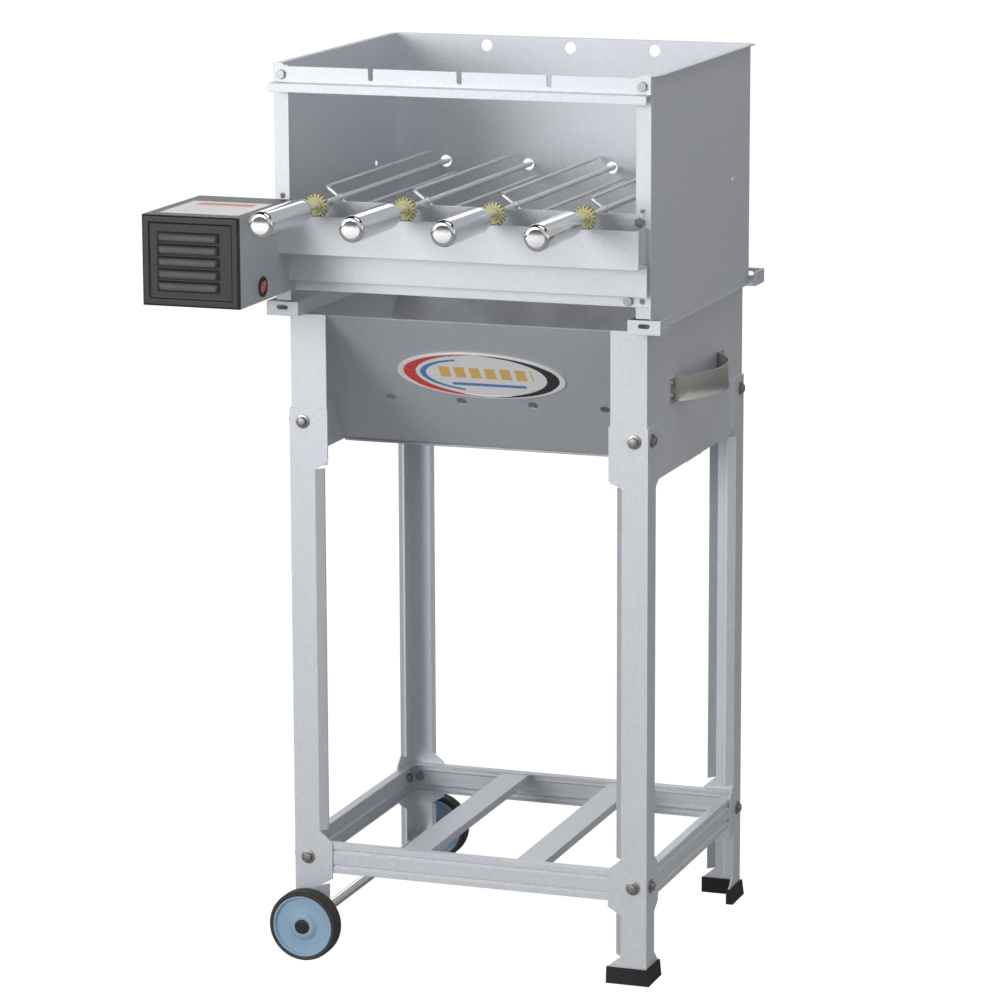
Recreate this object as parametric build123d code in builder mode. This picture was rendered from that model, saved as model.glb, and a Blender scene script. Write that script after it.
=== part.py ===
from build123d import *
import os
from math import atan2, cos, degrees, hypot, pi, radians, sin, sqrt

os.makedirs("parts", exist_ok=True)

# Charcoal roaster with four motor-driven spits.
# Frame: +X to the right, +Y to the back, +Z up, millimetres.
# Origin: bottom centre of the whole roaster's bounding box.

# ---- driving sizes ---------------------------------------------------------
stand_width = 450.0          # outside of the left legs to outside of the right legs
stand_depth = 395.0          # outside of the front legs to outside of the back legs
hood_overhang = 7.5          # hood stands this far outside the stand on each side
hood_front = 16.0            # hood front face ahead of the front legs
hood_back = 8.0              # hood back face ahead of the back legs' outer face
firebox_bottom = 608.0       # lower edge of the firebox
firebox_top = 790.0          # upper edge of the firebox
hood_top = 1088.0            # upper edge of the hood
spit_height = 928.5          # spit axis above the floor
spit_pitch = 110.0           # spit to spit
spit_count = 4
skewer_height = 1076.0       # upper skewer holes above the floor
wheel_radius = 43.5
wheel_width = 24.0
wheel_gap = 19.5             # leg face to the tyre's inner face
tyre_thick = 5.5
box_width = 121.0            # motor box, along X
box_depth = 166.0            # motor box, along Y
box_height = 106.0
box_bottom = 823.0
handle_length = 112.0        # straight part of a spit handle
handle_radius = 15.5

sheet = 1.5                  # folded sheet panels
leg_sheet = 2.0              # leg angle thickness
rod_radius = 3.5             # spit rod
axle_radius = 4.0
shaft_radius = 4.0
run_gap = 0.06               # radial clearance of a running fit
bolt_radius = 3.0
bolt_gap = 0.3               # radial clearance of a bolt in its hole
gear_teeth = 18
gear_module = 1.45
gear_width = 9.0
worm_pitch_radius = 6.5

# ---- derived positions -----------------------------------------------------
half_w = stand_width / 2
hood_half = half_w + hood_overhang
strap_reach = 36.0           # side handle stands this far off the firebox side
cap_reach = wheel_gap + wheel_width + 2.5    # axle cap ahead of the leg face
box_right = -(hood_half - 23.5)         # motor box right wall, from the centre plane
box_left = box_right - box_width
beam_front = 65.0            # beam front face ahead of the front legs
gear_y_local = -(beam_front - 11.0)     # gear plane
handle_rear_local = gear_y_local - 38.0
bullet_length = 22.0
handle_front_local = handle_rear_local - bullet_length - handle_length

x_low = box_left
x_high = half_w - leg_sheet + strap_reach
y_low = handle_front_local
y_high = stand_depth + cap_reach
cx = -(x_low + x_high) / 2              # centre plane of the stand in the frame
fy = -(y_low + y_high) / 2              # outer face of the front legs in the frame
by = fy + stand_depth                   # outer face of the back legs
mid_y = fy + stand_depth / 2

side_in = half_w - leg_sheet            # outer face of the firebox side panels
gear_y = fy + gear_y_local
spit_xs = [cx + (i - (spit_count - 1) / 2) * spit_pitch for i in range(spit_count)]
skewer_xs = [(spit_xs[i] + spit_xs[i + 1]) / 2 for i in range(spit_count - 1)]


def block(x0, x1, y0, y1, z0, z1, mode=Mode.ADD):
    # A box given by its limits.
    with Locations(((x0 + x1) / 2, (y0 + y1) / 2, (z0 + z1) / 2)):
        Box(abs(x1 - x0), abs(y1 - y0), abs(z1 - z0), mode=mode)


def hole_y(x, y, z, radius, length=30.0):
    # A round hole along Y.
    with Locations(Location((x, y, z), (90, 0, 0))):
        Cylinder(radius, length, mode=Mode.SUBTRACT)


def hole_x(x, y, z, radius, length=30.0):
    # A round hole along X.
    with Locations(Location((x, y, z), (0, 90, 0))):
        Cylinder(radius, length, mode=Mode.SUBTRACT)


def rod_y(x, y0, y1, z, radius, mode=Mode.ADD):
    # A round bar along Y.
    with Locations(Location((x, (y0 + y1) / 2, z), (90, 0, 0))):
        Cylinder(radius, abs(y1 - y0), mode=mode)


def rod_x(x0, x1, y, z, radius, mode=Mode.ADD):
    # A round bar along X.
    with Locations(Location(((x0 + x1) / 2, y, z), (0, 90, 0))):
        Cylinder(radius, abs(x1 - x0), mode=mode)


# ---- legs ------------------------------------------------------------------
leg_top = 676.0
joint_wide = 48.5            # front leaf width at the joints
side_wide = 46.0             # side leaf width at the joints
leaf_narrow = 32.0           # front leaf between the joints
side_narrow = 31.0
lip_width = 12.0             # stiffening lip bent in at 45 degrees
chamfer = 14.0
upper_zone = (612.0, leg_top)
lower_zone = (94.0, 139.5)
lower_bolt_z = 119.5
upper_bolt_z = 660.0
bolt_inset_x = 17.0
bolt_inset_y = 15.6
axle_z = wheel_radius
axle_inset = 25.0            # axle from the outside of the left legs
foot_height = 19.5
foot_sole = 4.0


def leaf_outline(bottom, narrow, wide, wheeled):
    # Half outline of one leaf, as (distance from the corner, height) points.
    points = [(0, bottom)]
    if wheeled:
        points += [(narrow, bottom)]
    else:
        points += [(wide, bottom), (wide, foot_height), (narrow, foot_height + chamfer)]
    points += [(narrow, lower_zone[0] - chamfer * 0.7), (wide, lower_zone[0])]
    points += [(wide, lower_zone[1]), (narrow, lower_zone[1] + chamfer)]
    points += [(narrow, upper_zone[0] - chamfer * 0.7), (wide, upper_zone[0])]
    points += [(wide, leg_top), (0, leg_top)]
    return points


def make_leg(sx, sy, wheeled):
    # sx, sy give the outward direction of the corner (-1 left or front, +1 right or back).
    corner_x = cx + sx * half_w
    corner_y = fy if sy < 0 else by
    bottom = 29.0 if wheeled else foot_sole
    lip_low = bottom if wheeled else foot_height + chamfer
    lips = [(lip_low, lower_zone[0] - chamfer * 0.7)]
    lips += [(lower_zone[1] + chamfer, upper_zone[0] - chamfer * 0.7)]
    reach = lip_width * cos(radians(45))
    with BuildPart() as leg:
        with BuildSketch(Plane.XZ.offset(-corner_y)):
            with BuildLine():
                outline = leaf_outline(bottom, leaf_narrow, joint_wide, wheeled)
                Polyline(*[(corner_x - sx * a, b) for a, b in outline], close=True)
            make_face()
        extrude(amount=leg_sheet if sy > 0 else -leg_sheet)
        with BuildSketch(Plane.YZ.offset(corner_x)):
            with BuildLine():
                outline = leaf_outline(bottom, side_narrow, side_wide, wheeled)
                Polyline(*[(corner_y - sy * a, b) for a, b in outline], close=True)
            make_face()
        extrude(amount=-sx * leg_sheet)
        for low, high in lips:
            for along_x in (True, False):
                width = leaf_narrow if along_x else side_narrow
                t = leg_sheet
                if along_x:
                    a = (corner_x - sx * width, corner_y)
                    b = (a[0] - sx * reach, a[1] - sy * reach)
                    c = (b[0], b[1] - sy * t * 1.4)
                    d = (a[0], a[1] - sy * t)
                    e = (a[0] + sx * t, a[1])
                    f = (e[0], e[1] - sy * t)
                    ring = [e, a, b, c, d, f]
                else:
                    a = (corner_x, corner_y - sy * width)
                    b = (a[0] - sx * reach, a[1] - sy * reach)
                    c = (b[0] - sx * t * 1.4, b[1])
                    d = (a[0] - sx * t, a[1])
                    e = (a[0], a[1] + sy * t)
                    f = (e[0] - sx * t, e[1])
                    ring = [e, a, b, c, d, f]
                with BuildSketch(Plane.XY.offset(low)):
                    with BuildLine():
                        Polyline(*ring, close=True)
                    make_face()
                extrude(amount=high - low)
        for z in (lower_bolt_z, upper_bolt_z):
            hole_y(corner_x - sx * bolt_inset_x, corner_y, z, bolt_radius + bolt_gap, 10)
            hole_x(corner_x, corner_y - sy * bolt_inset_y, z, bolt_radius + bolt_gap, 10)
        if wheeled:
            hole_y(corner_x - sx * axle_inset, corner_y, axle_z, axle_radius, 10)
    return leg


leg_front_left = make_leg(-1, -1, True)
leg_front_left.part.label = "leg_front_left"
export_step(leg_front_left.part, "parts/leg_front_left.step")
leg_back_left = make_leg(-1, 1, True)
leg_back_left.part.label = "leg_back_left"
export_step(leg_back_left.part, "parts/leg_back_left.step")
leg_front_right = make_leg(1, -1, False)
leg_front_right.part.label = "leg_front_right"
export_step(leg_front_right.part, "parts/leg_front_right.step")
leg_back_right = make_leg(1, 1, False)
leg_back_right.part.label = "leg_back_right"
export_step(leg_back_right.part, "parts/leg_back_right.step")


foot_skin = 2.5
foot_inner = 2.5
foot_end = 1.0
foot_flare = 2.0

with BuildPart() as rubber_feet:
    # L-shaped rubber shoes around the bottoms of the two right-hand legs, wider at the floor.
    foot_x = cx + half_w
    for foot_y, sy in ((fy, -1), (by, 1)):
        for foot_z, flare in ((0, foot_flare), (foot_height, 0)):
            with BuildSketch(Plane.XY.offset(foot_z)):
                with BuildLine():
                    x_out = foot_x + foot_skin + flare
                    y_out = foot_y + sy * (foot_skin + flare)
                    x_end = foot_x - joint_wide - foot_end
                    y_end = foot_y - sy * (side_wide + foot_end)
                    x_in = foot_x - leg_sheet - foot_inner
                    y_in = foot_y - sy * (leg_sheet + foot_inner)
                    Polyline((x_out, y_out), (x_out, y_end), (x_in, y_end), (x_in, y_in),
                             (x_end, y_in), (x_end, y_out), close=True)
                make_face()
        loft()
        block(foot_x - joint_wide, foot_x, foot_y, foot_y - sy * leg_sheet,
              foot_sole, foot_height + 1, Mode.SUBTRACT)
        block(foot_x - leg_sheet, foot_x, foot_y, foot_y - sy * side_wide,
              foot_sole, foot_height + 1, Mode.SUBTRACT)
rubber_feet.part.label = "rubber_feet"
export_step(rubber_feet.part, "parts/rubber_feet.step")

# ---- shelf -----------------------------------------------------------------
rail_low = 101.0
rail_high = 138.0
rail_flange = 11.0
bead_zs = [rail_low + (rail_high - rail_low) * k for k in (0.24, 0.76)]
bead_depth = 1.6
bead_half = 2.2


def rail_profile(flip):
    # Web, two flanges and two inward beads; u is the distance inward from the web's outer face.
    u = [(0, rail_low), (rail_flange, rail_low), (rail_flange, rail_low + sheet)]
    u += [(sheet, rail_low + sheet)]
    for z in bead_zs:
        u += [(sheet, z - bead_half - 1), (sheet + bead_depth, z - 1)]
        u += [(sheet + bead_depth, z + 1), (sheet, z + bead_half + 1)]
    u += [(sheet, rail_high - sheet), (rail_flange, rail_high - sheet)]
    u += [(rail_flange, rail_high), (0, rail_high)]
    for z in reversed(bead_zs):
        u += [(0, z + bead_half), (bead_depth, z + 0.6), (bead_depth, z - 0.6), (0, z - bead_half)]
    return [(flip * a, b) for a, b in u]


def make_cross_rail(sy):
    # Front or back shelf rail, running along X between the side rails.
    outer = (fy + leg_sheet) if sy < 0 else (by - leg_sheet)
    end = side_in - sheet - 0.2
    with BuildPart() as rail:
        with BuildSketch(Plane.YZ.offset(cx - end)):
            with BuildLine():
                Polyline(*[(outer + a, b) for a, b in rail_profile(-sy)], close=True)
            make_face()
        extrude(amount=2 * end)
        for sx in (-1, 1):
            hole_y(cx + sx * (half_w - bolt_inset_x), outer, lower_bolt_z, bolt_radius + bolt_gap, 10)
    return rail


def make_side_rail(sx):
    # Left or right shelf rail, running along Y inside the legs.
    outer = cx + sx * side_in
    y0 = fy + leg_sheet
    y1 = by - leg_sheet
    clear = rail_flange + 1.0
    with BuildPart() as rail:
        with BuildSketch(Plane.XZ.offset(-y0)):
            with BuildLine():
                Polyline(*[(outer + a, b) for a, b in rail_profile(-sx)], close=True)
            make_face()
        extrude(amount=-(y1 - y0))
        for end_y, inward in ((y0, 1), (y1, -1)):
            block(outer - sx * (sheet + 0.01), outer - sx * (rail_flange + 3),
                  end_y, end_y + inward * clear, rail_low - 1, rail_high + 1, Mode.SUBTRACT)
            hole_x(outer, end_y + inward * (bolt_inset_y - leg_sheet), lower_bolt_z,
                   bolt_radius + bolt_gap, 10)
    return rail


shelf_rail_front = make_cross_rail(-1)
shelf_rail_front.part.label = "shelf_rail_front"
export_step(shelf_rail_front.part, "parts/shelf_rail_front.step")
shelf_rail_back = make_cross_rail(1)
shelf_rail_back.part.label = "shelf_rail_back"
export_step(shelf_rail_back.part, "parts/shelf_rail_back.step")
shelf_rail_left = make_side_rail(-1)
shelf_rail_left.part.label = "shelf_rail_left"
export_step(shelf_rail_left.part, "parts/shelf_rail_left.step")
shelf_rail_right = make_side_rail(1)
shelf_rail_right.part.label = "shelf_rail_right"
export_step(shelf_rail_right.part, "parts/shelf_rail_right.step")

slat_offset = stand_width * 0.163
slat_width = 35.0


with BuildPart() as shelf_slats:
    # Channel slats from the front rail to the back rail, under the rails' top flanges.
    slat_top = rail_high - sheet
    slat_y0 = fy + leg_sheet + sheet + bead_depth + 0.3
    slat_y1 = by - leg_sheet - sheet - bead_depth - 0.3
    for sx in (-1, 1):
        x = cx + sx * slat_offset
        block(x - slat_width / 2, x + slat_width / 2, slat_y0, slat_y1, slat_top - sheet, slat_top)
        for side in (-1, 1):
            edge = x + side * slat_width / 2
            block(edge, edge - side * sheet, slat_y0, slat_y1, slat_top - 10, slat_top)
shelf_slats.part.label = "shelf_slats"
export_step(shelf_slats.part, "parts/shelf_slats.step")

# ---- wheels ----------------------------------------------------------------
axle_x = cx - half_w + axle_inset
rim_radius = wheel_radius - tyre_thick
cap_length = 4.2
cap_radius = 9.0
spacer_radius = 7.0
sleeve_radius = 6.0

with BuildPart() as wheel_axle:
    # Rod with a sleeve between the legs and a shoulder outside each leg that keeps the wheel off.
    rod_y(axle_x, fy - cap_reach + 2, by + cap_reach - 2, axle_z, axle_radius)
    rod_y(axle_x, fy + leg_sheet, by - leg_sheet, axle_z, sleeve_radius)
    for face, out in ((fy, -1), (by, 1)):
        rod_y(axle_x, face, face + out * (wheel_gap - 3.5), axle_z, spacer_radius)
wheel_axle.part.label = "wheel_axle"
export_step(wheel_axle.part, "parts/wheel_axle.step")

with BuildPart() as axle_caps:
    for face, out in ((fy, -1), (by, 1)):
        rod_y(axle_x, face + out * (cap_reach - cap_length), face + out * cap_reach, axle_z, cap_radius)
    fillet(axle_caps.edges().filter_by(GeomType.CIRCLE).group_by(Axis.Y)[0], 2.0)
    fillet(axle_caps.edges().filter_by(GeomType.CIRCLE).group_by(Axis.Y)[-1], 2.0)
    rod_y(axle_x, fy - cap_reach + 2, by + cap_reach - 2, axle_z, axle_radius, Mode.SUBTRACT)
axle_caps.part.label = "axle_caps"
export_step(axle_caps.part, "parts/axle_caps.step")


def make_hub(face, out):
    # Stepped plastic wheel centre, turned about the axle; v is the distance out from the leg face.
    v0 = wheel_gap
    v1 = wheel_gap + wheel_width
    v2 = cap_reach - cap_length - 0.5
    bore = axle_radius + run_gap
    ring = [(bore, v0 - 3), (12, v0 - 3), (12, v0 + 6), (rim_radius - 4, v0 + 6)]
    ring += [(rim_radius - 4, v0 + 1), (rim_radius, v0 + 1), (rim_radius, v1 - 0.6)]
    ring += [(rim_radius - 3, v1 - 0.6), (rim_radius - 4.5, v1 - 4.5), (18, v1 - 4.5)]
    ring += [(16.5, v1 - 3.5), (14.5, v2), (bore, v2)]
    with BuildPart() as hub:
        with BuildSketch(Plane.XY.offset(axle_z)):
            with BuildLine():
                Polyline(*[(axle_x + r, face + out * v) for r, v in ring], close=True)
            make_face()
        revolve(axis=Axis((axle_x, 0, axle_z), (0, 1, 0)), revolution_arc=360)
    return hub


def make_tyre(face, out):
    # Rubber tyre with rounded shoulders and a shallow centre groove.
    v0 = wheel_gap
    v1 = wheel_gap + wheel_width
    mid = (v0 + v1) / 2
    ring = [(rim_radius, v0), (wheel_radius - 3, v0), (wheel_radius - 0.8, v0 + 1.5)]
    ring += [(wheel_radius, v0 + 4), (wheel_radius, mid - 1.5), (wheel_radius - 1.2, mid - 0.8)]
    ring += [(wheel_radius - 1.2, mid + 0.8), (wheel_radius, mid + 1.5), (wheel_radius, v1 - 4)]
    ring += [(wheel_radius - 0.8, v1 - 1.5), (wheel_radius - 3, v1), (rim_radius, v1)]
    with BuildPart() as tyre:
        with BuildSketch(Plane.XY.offset(axle_z)):
            with BuildLine():
                Polyline(*[(axle_x + r, face + out * v) for r, v in ring], close=True)
            make_face()
        revolve(axis=Axis((axle_x, 0, axle_z), (0, 1, 0)), revolution_arc=360)
    return tyre


wheel_hub_front = make_hub(fy, -1)
wheel_hub_front.part.label = "wheel_hub_front"
export_step(wheel_hub_front.part, "parts/wheel_hub_front.step")
wheel_hub_back = make_hub(by, 1)
wheel_hub_back.part.label = "wheel_hub_back"
export_step(wheel_hub_back.part, "parts/wheel_hub_back.step")
wheel_tyre_front = make_tyre(fy, -1)
wheel_tyre_front.part.label = "wheel_tyre_front"
export_step(wheel_tyre_front.part, "parts/wheel_tyre_front.step")
wheel_tyre_back = make_tyre(by, 1)
wheel_tyre_back.part.label = "wheel_tyre_back"
export_step(wheel_tyre_back.part, "parts/wheel_tyre_back.step")

# ---- firebox ---------------------------------------------------------------
post_width = 45.0            # front and back flanges of the side panels
trough_floor = 52.0          # flat width at the bottom of the V trough
wall_front = fy + leg_sheet + sheet + 0.5       # top of the sloping front panel
wall_back = by - leg_sheet - sheet - 0.5
floor_front = mid_y - trough_floor / 2
floor_back = mid_y + trough_floor / 2
slope_run = floor_front - wall_front
slope_rise = firebox_top - firebox_bottom
slope_length = hypot(slope_run, slope_rise)
panel_half = side_in - sheet
strap_low = 690.0
strap_high = 721.0
rivet_radius = 2.4
rivet_inset = 8.0            # rivets from the strap's edges
rivet_end = 9.0              # rivets from the strap's ends
rivet_clear = 8.33           # rivets ahead of the sloping walls inside
rivet_y = (trough_floor / 2 + slope_run * (strap_low + rivet_inset - firebox_bottom) / slope_rise
           - rivet_clear)
strap_foot_y = rivet_y + rivet_end      # strap ends from the middle of the side


def make_firebox_side(sx):
    # Side panel with a flange behind each leg.
    outer = cx + sx * side_in
    y0 = fy + leg_sheet
    y1 = by - leg_sheet
    with BuildPart() as panel:
        block(outer, outer - sx * sheet, y0, y1, firebox_bottom, firebox_top)
        for y, inward in ((y0, 1), (y1, -1)):
            block(outer, outer - sx * post_width, y, y + inward * sheet, firebox_bottom, firebox_top)
            hole_y(cx + sx * (half_w - bolt_inset_x), y, upper_bolt_z, bolt_radius + bolt_gap, 10)
            hole_x(outer, y + inward * (bolt_inset_y - leg_sheet), upper_bolt_z,
                   bolt_radius + bolt_gap, 10)
        for side in (-1, 1):
            for z in (strap_low + rivet_inset, strap_high - rivet_inset):
                hole_x(outer, mid_y + side * rivet_y, z, rivet_radius, 10)
    return panel


firebox_side_left = make_firebox_side(-1)
firebox_side_left.part.label = "firebox_side_left"
export_step(firebox_side_left.part, "parts/firebox_side_left.step")
firebox_side_right = make_firebox_side(1)
firebox_side_right.part.label = "firebox_side_right"
export_step(firebox_side_right.part, "parts/firebox_side_right.step")

vent_pitch = stand_width * 0.2027
vent_radius = 6.5
vent_slant = slope_length * 0.633
badge_slant = slope_length * 0.413
badge_x = cx - 7.0
badge_half_x = 106.0
badge_half_s = 43.0
badge_thick = 1.2


def slope_plane(front):
    # Plane on the outer face of a sloping wall: x runs along the panel, y up the slope.
    top_y = wall_front if front else wall_back
    run = slope_run if front else -slope_run
    up = Vector(0, -run, slope_rise).normalized()
    across = Vector(1, 0, 0) if front else Vector(-1, 0, 0)
    return Plane(origin=(cx, top_y, firebox_top), x_dir=across, z_dir=across.cross(up))


def make_slope(front):
    # Sloping trough wall with a short hem at the top and air holes near the bottom.
    with BuildPart() as wall:
        with BuildSketch(slope_plane(front)):
            with Locations((0, -slope_length / 2 - 1)):
                Rectangle(2 * panel_half, slope_length - 2)
            if front:
                with Locations((0, -vent_slant)):
                    with GridLocations(vent_pitch, 1, 4, 1):
                        Circle(vent_radius, mode=Mode.SUBTRACT)
        extrude(amount=-sheet)
    return wall


firebox_front_panel = make_slope(True)
firebox_front_panel.part.label = "firebox_front_panel"
export_step(firebox_front_panel.part, "parts/firebox_front_panel.step")
firebox_back_panel = make_slope(False)
firebox_back_panel.part.label = "firebox_back_panel"
export_step(firebox_back_panel.part, "parts/firebox_back_panel.step")

with BuildPart() as ash_tray:
    tray_gap = 0.4
    block(cx - panel_half, cx + panel_half, floor_front, floor_back,
          firebox_bottom - sheet, firebox_bottom)
    for y, inward in ((floor_front, -1), (floor_back, 1)):
        block(cx - panel_half, cx + panel_half, y, y + inward * sheet, firebox_bottom - 2.5, firebox_bottom)
ash_tray.part.label = "ash_tray"
export_step(ash_tray.part, "parts/ash_tray.step")

with BuildPart() as firebox_badge:
    with BuildSketch(slope_plane(True)):
        with Locations((badge_x - cx, -badge_slant)):
            Ellipse(badge_half_x, badge_half_s)
    extrude(amount=badge_thick)
    with BuildSketch(slope_plane(True).offset(badge_thick)):
        with Locations((badge_x - cx, -badge_slant)):
            Ellipse(badge_half_x, badge_half_s)
            Ellipse(badge_half_x - 5, badge_half_s - 5, mode=Mode.SUBTRACT)
    extrude(amount=0.6)
firebox_badge.part.label = "firebox_badge"
export_step(firebox_badge.part, "parts/firebox_badge.step")

grate_z = firebox_bottom + slope_rise * 0.45
grate_inset = slope_run * (firebox_top - grate_z) / slope_rise
grate_front = wall_front + grate_inset + 4
grate_back = wall_back - grate_inset - 4
grate_half = panel_half - 3
grate_bars = 15

with BuildPart() as charcoal_grate:
    for y in (grate_front, grate_back - 6):
        block(cx - grate_half, cx + grate_half, y, y + 6, grate_z, grate_z + 6)
    for i in range(grate_bars):
        x = cx - grate_half + 3 + i * (2 * grate_half - 6) / (grate_bars - 1)
        block(x - 2.5, x + 2.5, grate_front, grate_back, grate_z + 0.5, grate_z + 5.5)
charcoal_grate.part.label = "charcoal_grate"
export_step(charcoal_grate.part, "parts/charcoal_grate.step")


strap_foot = 20.0
strap_thick = 2.0

with BuildPart() as side_handles:
    # One bowed strap with two flat feet on each side of the firebox.
    for sx in (-1, 1):
        wall = cx + sx * side_in
        skin = wall + sx * strap_thick
        a = mid_y - strap_foot_y
        b = a + strap_foot
        d = mid_y + strap_foot_y - strap_foot
        e = d + strap_foot
        with BuildSketch(Plane.XY.offset(strap_low)):
            with BuildLine():
                Line((wall, a), (wall, b))
                ThreePointArc((wall, b), (wall + sx * (strap_reach - strap_thick), mid_y), (wall, d))
                Line((wall, d), (wall, e))
                Line((wall, e), (skin, e))
                Line((skin, e), (skin, d))
                ThreePointArc((skin, d), (wall + sx * strap_reach, mid_y), (skin, b))
                Line((skin, b), (skin, a))
                Line((skin, a), (wall, a))
            make_face()
        extrude(amount=strap_high - strap_low)
        for side in (-1, 1):
            for z in (strap_low + rivet_inset, strap_high - rivet_inset):
                hole_x(wall, mid_y + side * rivet_y, z, rivet_radius, 12)
side_handles.part.label = "side_handles"
export_step(side_handles.part, "parts/side_handles.step")

with BuildPart() as handle_rivets:
    for sx in (-1, 1):
        wall = cx + sx * side_in
        for side in (-1, 1):
            for z in (strap_low + rivet_inset, strap_high - rivet_inset):
                y = mid_y + side * rivet_y
                rod_x(wall - sx * sheet, wall + sx * 2.0, y, z, rivet_radius)
                rod_x(wall + sx * 2.0, wall + sx * 3.4, y, z, 4.2)
                rod_x(wall - sx * sheet, wall - sx * (sheet + 1.4), y, z, 4.2)
handle_rivets.part.label = "handle_rivets"
export_step(handle_rivets.part, "parts/handle_rivets.step")

# ---- stand bolts, each with its nut --------------------------------------------------
bolt_head = 4.0
washer_radius = 8.6
washer_thick = 1.4
nut_height = 5.0
hex_radius = 5.77
stand_stack = leg_sheet + sheet


def hexagon(plane, length):
    # A hexagonal prism standing on a plane.
    with BuildSketch(plane) as hexagon_face:
        RegularPolygon(hex_radius, 6)
    extrude(hexagon_face.sketch, amount=length)


stand_bolt_spots = []
for sx in (-1, 1):
    for sy, face in ((-1, fy), (1, by)):
        for z in (lower_bolt_z, upper_bolt_z):
            stand_bolt_spots.append(((cx + sx * (half_w - bolt_inset_x), face, z), (0, sy, 0)))
            stand_bolt_spots.append(((cx + sx * half_w, face - sy * bolt_inset_y, z), (sx, 0, 0)))

with BuildPart() as stand_bolts:
    for spot, out in stand_bolt_spots:
        plane = Plane(origin=spot, z_dir=out)
        with BuildSketch(plane):
            Circle(washer_radius)
        extrude(amount=washer_thick)
        hexagon(plane.offset(washer_thick), bolt_head)
        with BuildSketch(plane):
            Circle(bolt_radius)
        extrude(amount=-(stand_stack + nut_height + 1.0))
        with BuildSketch(plane.offset(-stand_stack)):
            RegularPolygon(hex_radius, 6)
        extrude(amount=-nut_height)
stand_bolts.part.label = "stand_bolts"
export_step(stand_bolts.part, "parts/stand_bolts.step")

# ---- support rails between firebox and hood --------------------------------
ear_front = fy - hood_front - 2.0        # front face of the slotted ears
ear_back = by + hood_front + 2.0
ear_inner = half_w - 20.0
ear_outer = half_w + 20.0
ear_top = firebox_top + sheet + 15.5
tab_depth = 39.0
slot_x = half_w
slot_z = firebox_top + 10.0
slot_half = 2.65
slot_length = 14.0
rail_base = firebox_top + sheet          # hood sides stand on this face
square_hole = 6.0


def make_support_rail(sx):
    # Folded rail on top of the firebox side with slotted ears at both ends.
    inner = cx + sx * ear_inner
    outer = cx + sx * ear_outer
    hood_edge = cx + sx * (hood_half + 0.6)
    with BuildPart() as rail:
        block(inner, hood_edge, ear_front, ear_back, firebox_top, rail_base)
        block(inner, inner + sx * sheet, ear_front, ear_back, firebox_top, ear_top)
        for y, inward in ((ear_front, 1), (ear_back, -1)):
            block(inner, outer, y, y + inward * sheet, firebox_top, ear_top)
            block(inner, outer, y, y + inward * tab_depth, firebox_top, rail_base)
            block(outer, outer - sx * sheet, y, y + inward * tab_depth, firebox_top, ear_top)
            with Locations(Location((cx + sx * slot_x, y, slot_z), (90, 0, 0))):
                with BuildSketch(Plane.XZ.offset(-y)):
                    with Locations((cx + sx * slot_x, slot_z)):
                        SlotOverall(slot_length, 2 * slot_half)
                extrude(amount=5, both=True, mode=Mode.SUBTRACT)
            block(outer - 5, outer + 5, y + inward * tab_depth / 2 - square_hole / 2,
                  y + inward * tab_depth / 2 + square_hole / 2,
                  slot_z - square_hole / 2, slot_z + square_hole / 2, Mode.SUBTRACT)
    return rail


support_rail_left = make_support_rail(-1)
support_rail_left.part.label = "support_rail_left"
export_step(support_rail_left.part, "parts/support_rail_left.step")
support_rail_right = make_support_rail(1)
support_rail_right.part.label = "support_rail_right"
export_step(support_rail_right.part, "parts/support_rail_right.step")

# ---- hood ------------------------------------------------------------------
hood_front_y = fy - hood_front           # outer face of the hood's front flanges
hood_back_y = by - hood_back             # outer face of the hood's back panel
flange_width = 18.0
flange_low = ear_top + 1.5
hem_width = 6.0
side_hole_y = mid_y + stand_depth * 0.29
side_hole_z = spit_height + 3.5
hem_gap = 0.5
foot_tab = 36.0              # lower tab of the right front flange
strip_bolt = 26.5            # lower bolt from the right hood side
spit_hole_radius = 7.5
beam_low = 822.0
beam_mid = 836.0


def make_hood_side(sx):
    # Side panel with a front flange, a flange spot-welded behind the back panel and a hem on top.
    outer = cx + sx * hood_half
    with BuildPart() as panel:
        block(outer, outer - sx * sheet, hood_front_y, hood_back_y, rail_base, hood_top)
        block(outer, outer - sx * flange_width, hood_front_y, hood_front_y + sheet, flange_low, hood_top)
        if sx > 0:
            # Lower tab that the beam's strip is bolted to, clear of the motor box on the other side.
            block(outer, outer - foot_tab, hood_front_y, hood_front_y + sheet, beam_low + 1, beam_mid - 1)
            hole_y(outer - strip_bolt, hood_front_y, beam_low + 7, bolt_radius + bolt_gap, 6)
        block(outer, outer - sx * flange_width, hood_back_y - sheet, hood_back_y,
              rail_base, hood_top - sheet - hem_gap)
        with BuildSketch(Plane.XY.offset(hood_top - sheet)):
            with BuildLine():
                Polyline((outer, hood_front_y), (outer, hood_back_y),
                         (outer + sx * hem_width, hood_back_y),
                         (outer + sx * hem_width, hood_front_y + 26), close=True)
            make_face()
        extrude(amount=sheet)
        block(outer, outer - sx * (sheet + 1), hood_front_y - 1, hood_front_y + sheet,
              rail_base - 1, flange_low, Mode.SUBTRACT)
        inner = cx + sx * ear_inner
        block(inner - sx * 0.6, inner + sx * (sheet + 0.6), hood_back_y - sheet - 1, hood_back_y + 1,
              rail_base - 1, ear_top + 0.5, Mode.SUBTRACT)
        hole_x(outer, side_hole_y, side_hole_z, 4.0, 10)
        hole_y(outer - sx * 9.5, hood_front_y, spit_height + 4.5, bolt_radius + bolt_gap, 6)
        hole_y(outer - sx * 10, hood_front_y, hood_top - 11, bolt_radius + bolt_gap, 6)
        hole_y(outer - sx * 13, hood_front_y, spit_height - 7.5, bolt_radius + bolt_gap, 6)
        hole_y(outer - sx * 9.5, hood_front_y, beam_low + 7, bolt_radius + bolt_gap, 6)
    return panel


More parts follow.
